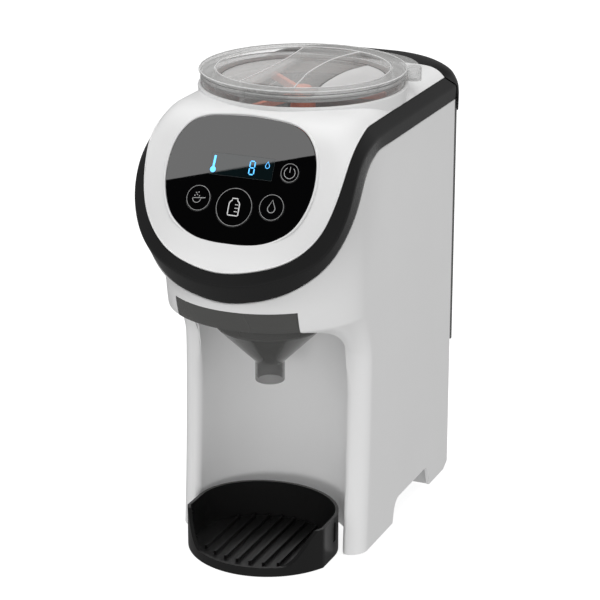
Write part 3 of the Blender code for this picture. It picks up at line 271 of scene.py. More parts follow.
# painted shade: a dark grey for lines along the clear lid's steps, standing in for how those steps look dark
SHADE_LINES = see_through("edge_grey_plastic", (0.26, 0.26, 0.258), 0.6, 0.9, 0.1, 0.3)
SMOKED = see_through("smoked_plastic", (0.11, 0.11, 0.107), 0.76, 0.97, 0.12, thin_below=(0.142, 0.58))
TANK_SMOKED = see_through("tank_smoked_plastic", (0.14, 0.14, 0.14), 0.80, 0.97, 0.14)
LCD = moulded("lcd", (0.0022, 0.0065, 0.0078), 0.008, 0.1, 2500.0, 0.02, 0.00002)
CYAN = glowing("lcd_segments", (0.10, 0.50, 1.0), 1.1)
PRINT = moulded("key_print", (0.80, 0.80, 0.80), 0.4, 0.03, 2000.0, 0.05, 0.00002)
PRINT_DIM = moulded("key_print_dim", (0.42, 0.42, 0.42), 0.4, 0.03, 2000.0, 0.05, 0.00002)
RING = moulded("ring_print", (0.30, 0.30, 0.30), 0.4, 0.03, 2000.0, 0.05, 0.00002)
LCD_EDGE = moulded("lcd_edge", (0.022, 0.026, 0.028), 0.3, 0.03, 2000.0, 0.05, 0.00002)

SLOT_MATERIAL = {
    "white_shell": WHITE, "black_trim": BLACK, "black_glass": GLASS, "lcd": LCD, "key_caps": KEYCAP,
    "clear_plastic": CLEAR, "smoked_plastic": SMOKED, "mixer_plastic": SALMON, "tray_plastic": TRAY_BLACK,
    "grey_plastic": GREY, "rubber": RUBBER, "steel": STEEL, "board": BOARD, "acetal": ACETAL,
    "silicone": SILICONE,
}
for subpart in frame["record"]["subparts"]:
    materials = NODES[subpart["node"]].data.materials
    materials.clear()
    materials.append(SLOT_MATERIAL[subpart["material_slot"]])


# ---- mesh helpers
def point(x, y, z):
    return Vector((x, y + DATUM_Y, z)) * MM


def from_bmesh(name, bm, mat=None, turn=True):
    if turn:
        bmesh.ops.recalc_face_normals(bm, faces=bm.faces)
    mesh = bpy.data.meshes.new(name)
    bm.to_mesh(mesh)
    bm.free()
    obj = bpy.data.objects.new(name, mesh)
    bpy.context.scene.collection.objects.link(obj)
    if mat:
        mesh.materials.append(mat)
    return obj


def prism(name, outline, low, high, side=False, mat=None):
    """An outline given thickness: (x, y) upwards, or with side=True (y, z) across X."""
    bm = bmesh.new()
    rings = []
    for level in (low, high):
        ring = [point(level, u, v) if side else point(u, v, level) for u, v in outline]
        rings.append([bm.verts.new(spot) for spot in ring])
    close(bm, rings)
    return from_bmesh(name, bm, mat)


def across_x(name, outline):
    """A (y, z) outline reaching past both side walls."""
    return prism(name, outline, -90, 90, side=True)


def close(bm, rings):
    """Faces between rings of vertices, with a cap at each end."""
    count = len(rings[0])
    for one, two in zip(rings, rings[1:]):
        for k in range(count):
            n = (k + 1) % count
            bm.faces.new((one[k], one[n], two[n], two[k]))
    bm.faces.new(rings[0])
    bm.faces.new(rings[-1])


def loft(name, rows, mat=None):
    """Closed rings of design-frame points joined one to the next, capped at both ends."""
    bm = bmesh.new()
    close(bm, [[bm.verts.new(point(*spot)) for spot in row] for row in rows])
    return from_bmesh(name, bm, mat)


def turned(name, profile, x, y, mat=None, steps=128):
    """A (radius, z) profile turned round an upright axis; closed, or axis to axis."""
    bm = bmesh.new()
    rings = []
    for r, z in profile:
        if r == 0.0:
            rings.append([bm.verts.new(point(x, y, z))])
            continue
        angles = (2 * math.pi * k / steps for k in range(steps))
        rings.append([bm.verts.new(point(x + r * math.cos(a), y + r * math.sin(a), z)) for a in angles])
    pairs = list(zip(rings, rings[1:]))
    if profile[0][0] > 0.0:
        pairs.append((rings[-1], rings[0]))
    for one, two in pairs:
        for k in range(steps):
            n = (k + 1) % steps
            if len(one) == 1:
                bm.faces.new((one[0], two[n], two[k]))
            elif len(two) == 1:
                bm.faces.new((one[k], one[n], two[0]))
            else:
                bm.faces.new((one[k], one[n], two[n], two[k]))
    return from_bmesh(name, bm, mat)


def rod(name, start, end, radius, mat=None, sides=64):
    start, end = point(*start), point(*end)
    along = end - start
    turn = Vector((0, 0, 1)).rotation_difference(along).to_matrix().to_4x4()
    bm = bmesh.new()
    bmesh.ops.create_cone(
        bm, cap_ends=True, segments=sides, radius1=radius * MM, radius2=radius * MM,
        depth=along.length, matrix=Matrix.Translation((start + end) / 2) @ turn)
    return from_bmesh(name, bm, mat)


def tube(name, spots, radius, mat, sides=10, closed=False):
    """A round bar along world-frame points."""
    bm = bmesh.new()
    count = len(spots)
    rings = []
    side = None
    for k, spot in enumerate(spots):
        ahead = spots[(k + 1) % count] if closed else spots[min(k + 1, count - 1)]
        behind = spots[k - 1] if closed or k else spots[0]
        along = (ahead - behind).normalized()
        if side is None:
            side = along.orthogonal()
        side = (side - along * side.dot(along)).normalized()
        other = along.cross(side)
        rings.append([bm.verts.new(spot + (side * math.cos(a) + other * math.sin(a)) * radius)
                      for a in (2 * math.pi * i / sides for i in range(sides))])
    pairs = list(zip(rings, rings[1:])) + ([(rings[-1], rings[0])] if closed else [])
    for one, two in pairs:
        shift = 0
        if closed and two is rings[0]:
            shift = min(range(sides), key=lambda s: (two[s].co - one[0].co).length)
        for i in range(sides):
            n = (i + 1) % sides
            bm.faces.new((one[i], one[n], two[(n + shift) % sides], two[(i + shift) % sides]))
    if not closed:
        bm.faces.new(rings[0])
        bm.faces.new(rings[-1])
    return from_bmesh(name, bm, mat)


def combine(obj, *steps):
    """Apply cuts and joins in order; each step is (CUT or JOIN, tool)."""
    for operation, tool in steps:
        change = obj.modifiers.new("shape", "BOOLEAN")
        change.operation = operation
        change.solver = "EXACT"
        change.object = tool
    bake(obj)
    for _, tool in steps:
        bpy.data.objects.remove(tool, do_unlink=True)
    return obj


def bake(obj):
    """Replace an object's mesh by its evaluated shape."""
    bpy.context.view_layer.update()
    graph = bpy.context.evaluated_depsgraph_get()
    mesh = bpy.data.meshes.new_from_object(obj.evaluated_get(graph))
    obj.modifiers.clear()
    obj.data = mesh


def finish_edges(obj, width=0.5, segments=3, angle=38.0, sharp=50.0):
    """Small rounded edges, smooth shading and weighted normals."""
    bm = bmesh.new()
    bm.from_mesh(obj.data)
    bmesh.ops.remove_doubles(bm, verts=bm.verts, dist=0.00002)
    bmesh.ops.dissolve_degenerate(bm, edges=bm.edges, dist=0.00001)
    bm.to_mesh(obj.data)
    bm.free()
    if width:
        bevel = obj.modifiers.new("edges", "BEVEL")
        bevel.width = width * MM
        bevel.segments = segments
        bevel.limit_method = "ANGLE"
        bevel.angle_limit = math.radians(angle)
        bevel.use_clamp_overlap = True
        bake(obj)
    obj.data.shade_smooth()
    obj.data.set_sharp_from_angle(angle=math.radians(sharp))
    normals = obj.modifiers.new("normals", "WEIGHTED_NORMAL")
    normals.keep_sharp = True
    return obj


def place(obj, body, slot, *replaced):
    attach(obj, body)
    if replaced:
        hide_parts(*replaced)
    return obj


def arc(radius_x, radius_y, centre, start, end, count):
    found = []
    for k in range(count + 1):
        angle = math.radians(start + (end - start) * k / count)
        found.append((centre[0] + radius_x * math.cos(angle), centre[1] + radius_y * math.sin(angle)))
    return found


def lerp(a, b, f):
    return tuple(p + (q - p) * f for p, q in zip(a, b))


def spline_at(values, t):
    """A smooth curve through evenly numbered values, each a tuple."""
    k = max(0, min(int(t), len(values) - 2))
    f = t - k
    before = values[max(k - 1, 0)]
    after = values[min(k + 2, len(values) - 1)]
    result = []
    for a, b, c, d in zip(before, values[k], values[k + 1], after):
        slope_b = (c - a) / 2
        slope_c = (d - b) / 2
        h = f * f * (3 - 2 * f)
        result.append(b + (c - b) * h + slope_b * f * (1 - f) ** 2 - slope_c * f * f * (1 - f))
    return tuple(result)


def smooth_outline(spots, per=6):
    """A closed outline refined by a smooth curve through its points."""
    count = len(spots)
    wrapped = [spots[-1]] + list(spots) + [spots[0], spots[1]]
    return [spline_at(wrapped, 1 + k / per) for k in range(count * per)]


# ---- head curves
FRONT_FINE = 80
COLUMNS = [10.0 * k / FRONT_FINE for k in range(FRONT_FINE + 1)] + [10.5, 11.0, 11.5, 12.0]


def rough_station(t):
    if t < 0.0:
        other = rough_station(-t)
        return [(-x, y, z) for x, y, z in other[:3]] + [other[3]]
    if t > 10.0:
        k = min(int(t), 11)
        return [lerp(STATIONS[k][n], STATIONS[k + 1][n], t - k) for n in range(4)]
    far_side = [(-x, y, z) for x, y, z in STATIONS[1][:3]] + [STATIONS[1][3]]
    return [spline_at([far_side[k]] + [row[k] for row in STATIONS], t + 1.0) for k in range(4)]


def station(t):
    """Cover edge, fold, lower edge and cover middle at station t, evened out along the curve."""
    reach = 0.85 * max(0.0, min(1.0, 10.0 - t))
    if reach == 0.0:
        return rough_station(t)
    shares = ((-1.0, 1), (-0.67, 2), (-0.33, 3), (0.0, 4), (0.33, 3), (0.67, 2), (1.0, 1))
    spots = [(rough_station(t + reach * shift), share) for shift, share in shares]
    total = sum(share for _, share in spots)
    return [tuple(sum(values[i] * share for values, (_, share) in zip(rail, spots)) / total
                  for i in range(len(rail[0])))
            for rail in zip(*(spot for spot, _ in spots))]


def inward(t, spot, depth):
    edge, fold, lower, _ = station(t)
    middle = Vector(lerp(edge, lower, 0.5))
    away = middle - Vector(fold)
    if t >= 11.0:
        middle.y = spot[1]
        away.y = 0.0
    core = middle + away.normalized() * 14.0
    return tuple(Vector(spot) + (core - Vector(spot)).normalized() * depth)


def mirrored(half):
    return [(-x, y, z) for x, y, z in reversed(half[1:])] + list(half)


def sheet(bm, grid):
    """Faces between the neighbours of a grid of vertices."""
    return [bm.faces.new((one[k], one[k + 1], two[k + 1], two[k]))
            for one, two in zip(grid, grid[1:]) for k in range(len(one) - 1)]


def walled(name, rows, thickness, mat, inside, rim):
    """A wall whose outer face runs through the rows; rim gives chosen inner points by row, column."""
    bm = bmesh.new()
    outer = [[bm.verts.new(point(*spot)) for spot in row] for row in rows]
    faces = sheet(bm, outer)
    bm.normal_update()
    core = point(*inside)
    if sum((face.calc_center_median() - core).dot(face.normal) * face.calc_area() for face in faces) < 0.0:
        bmesh.ops.reverse_faces(bm, faces=faces)
        bm.normal_update()
    inner = []
    for i, row in enumerate(outer):
        inner.append([])
        for k, vert in enumerate(row):
            spot = rim.get((i, k))
            inner[i].append(bm.verts.new(point(*spot) if spot else vert.co - vert.normal * thickness * MM))
    sheet(bm, inner)
    for k in range(len(rows[0]) - 1):
        for end in (0, -1):
            bm.faces.new((outer[end][k], outer[end][k + 1], inner[end][k + 1], inner[end][k]))
    for i in range(len(rows) - 1):
        for end in (0, -1):
            bm.faces.new((outer[i][end], outer[i + 1][end], inner[i + 1][end], inner[i][end]))
    return from_bmesh(name, bm, mat)


# ---- black band
def band_section(t):
    edge, fold, lower = [Vector(spot) for spot in station(t)[:3]]
    upper_edge = edge + (fold - edge).normalized() * GAP
    lower_edge = lower + (fold - lower).normalized() * GAP
    near_up = fold.lerp(upper_edge, 0.16)
    near_low = fold.lerp(lower_edge, 0.12)
    face = [upper_edge.lerp(near_up, k / 3) for k in range(3)]
    for k in range(5):
        f = k / 4
        face.append(near_up.lerp(fold, f).lerp(fold.lerp(near_low, f), f))
    face += [near_low.lerp(lower_edge, k / 4) for k in range(1, 5)]
    back = [inward(t, spot, BAND_DEPTH) for spot in (lower_edge, fold, upper_edge)]
    return [tuple(spot) for spot in face] + back


right = [band_section(t) for t in COLUMNS]
left = [[(-x, y, z) for x, y, z in section] for section in reversed(right[1:])]
bm = bmesh.new()
close(bm, [[bm.verts.new(point(*spot)) for spot in section] for section in left + right])
band = finish_edges(from_bmesh("band", bm, BLACK), 0.45, 2, 50.0)
place(band, "base", "black_trim", "trim_band")


def lip(name, column, radius, sink):
    """A fine rounded edge on the white shell, along one side of the band."""
    half = []
    for t in COLUMNS[:-3]:
        spot, fold = Vector(station(t)[column]), Vector(station(t)[1])
        half.append(spot + (spot - fold).normalized() * sink)
    spots = [point(*spot) for spot in mirrored([tuple(spot) for spot in half])]
    place(finish_edges(tube(name, spots, radius * MM, WHITE), 0), "base", "white_shell")


lip("body_lip", 2, 0.5, 0.45)
lip("cover_lip", 0, 0.45, 0.4)


# ---- white body
def section_points(front, radius_x, radius_y):
    flat = HALF_WIDTH - radius_x
    corner = (flat, front + radius_y)
    half = [(0.0, front), (flat, front)] if flat > 0.5 else [(0.0, front)]
    half += [(corner[0] + radius_x * math.sin(a), corner[1] - radius_y * math.cos(a))
             for a in (math.radians(1.5 * k) for k in range(1, 61))]
    half.append((HALF_WIDTH, -14.0))
    return half


def along(polyline, fraction):
    lengths = [math.dist(a, b) for a, b in zip(polyline, polyline[1:])]
    left_over = fraction * sum(lengths)
    for (a, b), length in zip(zip(polyline, polyline[1:]), lengths):
        if left_over <= length:
            return lerp(a, b, left_over / length)
        left_over -= length
    return polyline[-1]


def shell_row(z, front, radius_x, radius_y):
    outline = section_points(front, radius_x, radius_y)
    row = [(*along(outline, k / FRONT_FINE), z) for k in range(FRONT_FINE + 1)]
    return row + [(HALF_WIDTH, y, z) for y in (-7.0, 0.0, 64.0, SIDE_REAR_Y)]


def mouth_round(side):
    """What is cut from one side of the bay's mouth to round its upright edge, thinning out at the top."""
    fronts = [(z, y) for z, y, _, _ in reversed(SHELL_SECTIONS)]
    rows = []
    for k in range(25):
        z = -2.0 + MOUTH_TOP_Z * k / 24
        front = spline_at(fronts, section_at(z))[1]
        soft = MOUTH_RADIUS * min(1.0, max(0.05, (MOUTH_TOP_Z - z) / 26.0))
        middle_y = front + soft
        middle_x = math.sqrt((BAY_RADIUS + soft) ** 2 - (middle_y - AXIS_Y) ** 2)
        start = math.degrees(math.atan2(AXIS_Y - middle_y, -middle_x)) % 360.0
        row = arc(soft, soft, (middle_x, middle_y), start, 270.0, 10)
        row += [(middle_x, front - 9.0), (row[0][0] - 6.0, front - 9.0), (row[0][0] - 6.0, row[0][1])]
        rows.append([(side * x, y, z) for x, y in row])
    return loft("mouth_round", rows)


def section_at(z):
    """Where a height falls in the list of shell sections, counted from the ground."""
    levels = [row[0] for row in reversed(SHELL_SECTIONS)]
    for k, (low, high) in enumerate(zip(levels, levels[1:])):
        if z <= high:
            return k + max(0.0, (z - low) / (high - low))
    return len(levels) - 1.0


def make_body():
    rim = [station(t)[2] for t in COLUMNS]
    for k, t in enumerate(COLUMNS):
        if t > 11.0:
            rim[k] = (HALF_WIDTH, SIDE_REAR_Y * (t - 11.0), rim[k][2])
    per = 4
    rows = [shell_row(*spline_at(SHELL_SECTIONS, k / per))
            for k in range(per * (len(SHELL_SECTIONS) - 1) + 1)]
    flare = []
    for f in (0.92, 0.84, 0.76, 0.68, 0.6, 0.52, 0.44, 0.36, 0.28, 0.2, 0.1):
        flare.append([(*lerp(low[:2], high[:2], f ** 1.7), low[2] + (high[2] - low[2]) * f)
                      for low, high in zip(rows[0], rim)])
    rows = [mirrored(row) for row in [rim] + flare + rows]
    lining = mirrored([inward(t, spot, WALL) for t, spot in zip(COLUMNS, rim)])
    shell = walled("body_shell", rows, WALL, WHITE, (0.0, 30.0, 150.0),
                   {(0, k): spot for k, spot in enumerate(lining)})
    bay = rod("bay_room", (0, AXIS_Y, -5), (0, AXIS_Y, 182.3), BAY_RADIUS + 1.0, sides=160)
    slot_side = HALF_WIDTH * math.sin(math.radians(39.3))
    slot = [(-slot_side, -140.0), (slot_side, -140.0), (slot_side, -71.3), (-slot_side, -71.3)]
    arch = [(9.0, -2.0), (9.0, 0.0), (10.2, 6.0), (12.0, 12.0), (14.6, 16.0), (18.0, 18.3), (22.0, ARCH_Z),
            (78.0, ARCH_Z), (81.5, 17.8), (84.0, 14.0), (86.4, 7.0), (88.0, 0.0), (88.0, -2.0)]
    heel = [(117.0, 0.0), (128.5, 6.0), (140.0, 6.0), (140.0, -2.0), (117.0, -2.0)]
    combine(bay, (JOIN, prism("slot_room", slot, 176.7, 203.0)))
    combine(shell, (CUT, bay), (CUT, across_x("arch_room", arch)), (CUT, across_x("heel_room", heel)))

    outer, top, edge = BAY_RADIUS + BAY_WALL, BAY_CEILING_Z - 2, CONE_RADIUS + 4
    profile = [(edge, top), (outer, top), (outer, 2.0), (BAY_RADIUS, 2.0)]
    profile += arc(BAY_RADIUS - CONE_RADIUS - 4.0, COVE_RISE, (edge, top - 2.4 - COVE_RISE), 0, 90, 12)
    wall = turned("bay_lining", profile, 0, AXIS_Y, WHITE, steps=160)
    front = [(-160.0, -5.0), (-54.5, -5.0), (-50.4, 50.0), (-47.6, 100.0), (-46.6, 146.0), (-49.0, 160.0),
             (-54.2, 167.0), (-54.2, 195.0), (-160.0, 195.0)]
    combine(wall, (CUT, across_x("bay_front", front)))
    combine(shell, (JOIN, wall), (CUT, mouth_round(1)), (CUT, mouth_round(-1)))
    finish_edges(shell, 0.5, 3, 30.0)
    place(shell, "base", "white_shell", "main_housing", "bay_wall")


make_body()


# ---- cover and panel
PANEL_UP = Vector((0.0, math.sin(PANEL_LEAN), math.cos(PANEL_LEAN)))
PANEL_OUT = Vector((0.0, -math.cos(PANEL_LEAN), math.sin(PANEL_LEAN)))


def panel_point(across, up, out=0.0):
    return PANEL_BASE + Vector((across, 0.0, 0.0)) + PANEL_UP * up + PANEL_OUT * out


def panel_prism(name, outline, low, high, mat=None):
    bm = bmesh.new()
    close(bm, [[bm.verts.new(point(*panel_point(u, v, level))) for u, v in outline] for level in (low, high)])
    return from_bmesh(name, bm, mat)


def glass_outline(spread=0.0):
    both = list(GLASS_OUTLINE) + [(0.0, -0.3)] + [(-x, up) for x, up in reversed(GLASS_OUTLINE[1:])]
    fine = smooth_outline(both)
    middle = Vector((0.0, 44.0))
    return [tuple(Vector(spot) + (Vector(spot) - middle).normalized() * spread) for spot in fine]


def make_cover():
    count = 30
    across = [1.0 - (1.0 - k / count) ** 1.5 for k in range(count + 1)]      # finer towards the edge
    first = [station(0.0)[0], station(COLUMNS[1])[0]]
    rows = [mirrored([lerp(first[0], first[1], f) for f in across])]
    below = mirrored([inward(COLUMNS[1] * f, lerp(first[0], first[1], f), COVER_WALL) for f in across])
    rim = {(0, k): spot for k, spot in enumerate(below)}
    for i, t in enumerate(COLUMNS[2:], start=1):
        edge, _, _, (mid_y, mid_z) = station(t)
        roll = spline_at([(v,) for v in COVER_ROLL], t)[0]
        half = []
        for u in across:
            share = u ** roll
            half.append((edge[0] * u, mid_y + (edge[1] - mid_y) * share, mid_z + (edge[2] - mid_z) * share))
        rows.append(mirrored(half))
        x, y, z = inward(t, edge, COVER_WALL)
        y = min(y, mid_y) if t == COLUMNS[-1] else y
        rim[(i, 0)] = (-x, y, z)
        rim[(i, 2 * len(across) - 2)] = (x, y, z)
    cover = walled("cover", rows, COVER_WALL, WHITE, (0.0, 0.0, 200.0), rim)
    hole = rod("deck_hole", (0, CONTAINER_Y, 280), (0, CONTAINER_Y, 360), DECK_HOLE_RADIUS, sides=160)
    window = panel_prism("window", glass_outline(GAP), -12.0, 14.0)
    collar = turned("collar", [
        (DECK_HOLE_RADIUS, COLLAR_Z), (FLANGE_RADIUS + 0.4, COLLAR_Z), (FLANGE_RADIUS + 0.4, 333.2),
        (FLANGE_RADIUS + 0.8, 333.6), (74.2, 333.6), (74.9, 333.3), (75.2, 332.6), (74.2, 323.4),
        (DECK_HOLE_RADIUS, 323.4)], 0, CONTAINER_Y, steps=160)
    combine(cover, (CUT, window), (CUT, hole), (JOIN, collar))
    finish_edges(cover, 0.5, 3, 38.0)
    place(cover, "base", "white_shell", "top_cover")
    edge = [point(*panel_point(u, v, -0.5)) for u, v in glass_outline(1.2)]
    place(finish_edges(tube("window_lip", edge, 0.0009, WHITE, 12, closed=True), 0), "base", "white_shell")


make_cover()


def rounded_box(centre, size, radius):
    x, y = centre
    w, h = size[0] / 2 - radius, size[1] / 2 - radius
    outline = []
    for cx, cy, start in ((w, h, 0), (-w, h, 90), (-w, -h, 180), (w, -h, 270)):
        outline += arc(radius, radius, (x + cx, y + cy), start, start + 90, 6)
    return outline


def printed(name, outline, body, mat, slot, level=0.0):
    """A thin printed shape lying on the panel."""
    mark = panel_prism(name, outline, level, level + 0.06, mat)
    place(finish_edges(mark, 0), body, slot)


def stroke(name, spots, width, body, mat, slot, closed=False):
    """A printed line along panel points."""
    line = [point(*panel_point(u, v, 0.0)) for u, v in spots]
    place(finish_edges(tube(name, line, width / 2 * MM, mat, 8, closed), 0), body, slot)


def make_display():
    segments = ("base", CYAN, "lcd")
    pane = rounded_box((0.4, 53.4), (46.6, 15.2), 0.5)
    window = panel_prism("panel_lcd_pane", pane, -0.02, 0.02, LCD)
    place(finish_edges(window, 0), "base", "lcd")
    stroke("panel_lcd_edge", pane, 0.14, "base", LCD_EDGE, "lcd", closed=True)
    bulb = (-20.6, 49.2)
    printed("panel_heat_bulb", arc(2.1, 2.1, bulb, 0, 357, 40), *segments, 0.02)
    stem = [(-21.4, 50.5), (-19.8, 50.5), (-19.5, 59.0), (-21.1, 59.0)]
    printed("panel_heat_stem", stem, *segments, 0.03)
    left, right, low, middle, high = 6.1, 9.7, 48.6, 53.2, 57.8
    bars = [((left + 0.5, v), (right - 0.5, v)) for v in (low, middle, high)]
    bars += [((u, v + 0.5), (u, top - 0.5))
             for u in (left, right) for v, top in ((low, middle), (middle, high))]
    for k, bar in enumerate(bars):
        stroke("panel_digit_bar_%d" % k, bar, 0.85, *segments)
    drop = arc(1.5, 1.5, (18.9, 55.6), -210, 30, 12) + [(18.9, 58.8)]
    stroke("panel_drop", drop, 0.45, *segments, closed=True)


def make_key_marks():
    """Plain picture marks: a bottle, a scoop of powder, a drop, and the usual power sign."""
    half = [(3.4, 19.2), (3.9, 19.8), (3.9, 27.2), (3.2, 28.6), (2.0, 29.6), (2.0, 31.0)]
    bottle = [(-3.4, 19.2)] + half + [(-u, v) for u, v in reversed(half[1:])]
    start, powder, unit, power = [(KEY_BODY[name], PRINT if name == "start_key" else PRINT_DIM, "key_caps")
                                  for name in KEYS]
    stroke("panel_bottle_mark", bottle, 0.8, *start, closed=True)
    for k, level in enumerate((22.0, 24.4, 26.8)):
        stroke("panel_bottle_line_%d" % k, [(0.6, level), (3.2, level)], 0.5, *start)
    across, up, _ = KEYS["powder_key"]
    scoop = arc(3.0, 3.0, (across - 1.2, up - 0.4), 180, 360, 16)
    scoop += [(across + 5.4, up + 0.6), (across - 4.2, up - 0.4)]
    stroke("panel_scoop_mark", scoop, 0.45, *powder)
    for k, (u, v) in enumerate(((-2.9, 1.4), (-1.2, 2.2), (0.5, 1.4), (-2.0, 3.4), (-0.3, 3.9))):
        printed("panel_grain_%d" % k, arc(0.38, 0.38, (across + u, up + v), 0, 330, 12), *powder)
    across, up, _ = KEYS["unit_key"]
    drop = arc(2.7, 2.7, (across, up - 1.0), -215, 25, 20) + [(across, up + 5.0)]
    stroke("panel_water_mark", drop, 0.55, *unit, closed=True)
    across, up, _ = KEYS["power_key"]
    stroke("panel_power_arc", arc(3.9, 3.9, (across, up), 125, 415, 60), 0.5, *power)
    stroke("panel_power_bar", [(across, up + 0.2), (across, up + 4.2)], 0.5, *power)


def make_panel():
    glass = panel_prism("panel_glass", glass_outline(), -2.0, 0.0, GLASS)
    combine(glass, *[(CUT, rod(name + "_room", panel_point(u, v, -8.0), panel_point(u, v, 4.0), radius + 0.1))
                     for name, (u, v, radius) in KEYS.items()])
    finish_edges(glass, 0.25, 2, 40.0)
    place(glass, "base", "black_glass", "control_panel")
    for name, (across, up, radius) in KEYS.items():
        cap = rod("panel_" + name, panel_point(across, up, -3.6), panel_point(across, up), radius, KEYCAP)
        finish_edges(cap, 0.1, 1, 40.0)
        place(cap, KEY_BODY[name], "key_caps", name)
        ring = arc(radius - 0.4, radius - 0.4, (across, up), 0, 356, 90)
        stroke("panel_ring_" + name, ring, 0.42, KEY_BODY[name], RING, "key_caps", closed=True)
    make_display()
    make_key_marks()


make_panel()


# ---- powder container, lid, mixer
def make_container():
    r, floor = CONTAINER_RADIUS, CONTAINER_FLOOR_Z
    low, top = 332.0, 338.2
    neck = FLANGE_RADIUS
    profile = [(neck + 0.8, top), (neck + 1.1, top - 0.3), (neck + 1.1, top - 0.8), (neck + 0.8, top - 1.1),
               (neck, top - 1.6), (neck, low + 0.4), (neck - 0.4, low), (r + 0.6, low), (r, low - 0.6),
               (r, floor + 1.5), (r - 0.5, floor + 0.5), (r - 1.5, floor), (8.0, floor), (8.0, floor + 2.2),
               (r - 2.5, floor + 2.2), (r - 2.0, floor + 3.0), (r - 2.0, top)]
    cup = turned("container_cup", profile, 0, CONTAINER_Y, CLEAR, steps=144)
    outlet = rod("outlet_room", (0, AXIS_Y + 8, floor - 2), (0, AXIS_Y + 8, floor + 4), 6.5)
    combine(cup, (CUT, outlet))
    finish_edges(cup, 0)
    place(cup, "container", "clear_plastic", "powder_container")
    seal = [(r - 2.4, 338.4), (r - 2.2, 337.6), (r - 2.4, 336.8), (r - 2.2, 335.8), (r - 2.4, 334.8),
            (r - 4.0, 334.6), (r - 4.0, 338.6)]
    seal = turned("lid_ring_seal", seal, 0, CONTAINER_Y, SILICONE, steps=96)
    place(finish_edges(seal, 0), "lid_ring", "silicone", "lid_seal")


def round_lid(radius, start, end, count):
    """Spots on a circle about the container's axis."""
    return arc(radius, radius, (0.0, CONTAINER_Y), start, end, count)


def lid_piece(obj, width=0, segments=3, angle=38.0):
    place(finish_edges(obj, width, segments, angle), "lid", "clear_plastic")


def lid_clip(name, inner, outer, low, start, end, count):
    """A raised piece on the lid's skirt between two angles."""
    outline = round_lid(outer, start, end, count) + round_lid(inner, end, start, count)
    lid_piece(prism(name, outline, low, 342.4, mat=CLEAR), 0.15, 2, 50.0)


def lid_line(name, radius, level, thick, mat):
    """A round line right round the lid, a painted highlight or painted shade line as its material gives."""
    ring = [point(x, y, level) for x, y in round_lid(radius, 0, 357.5, 143)]
    lid_piece(tube(name, ring, thick * MM, mat, closed=True))


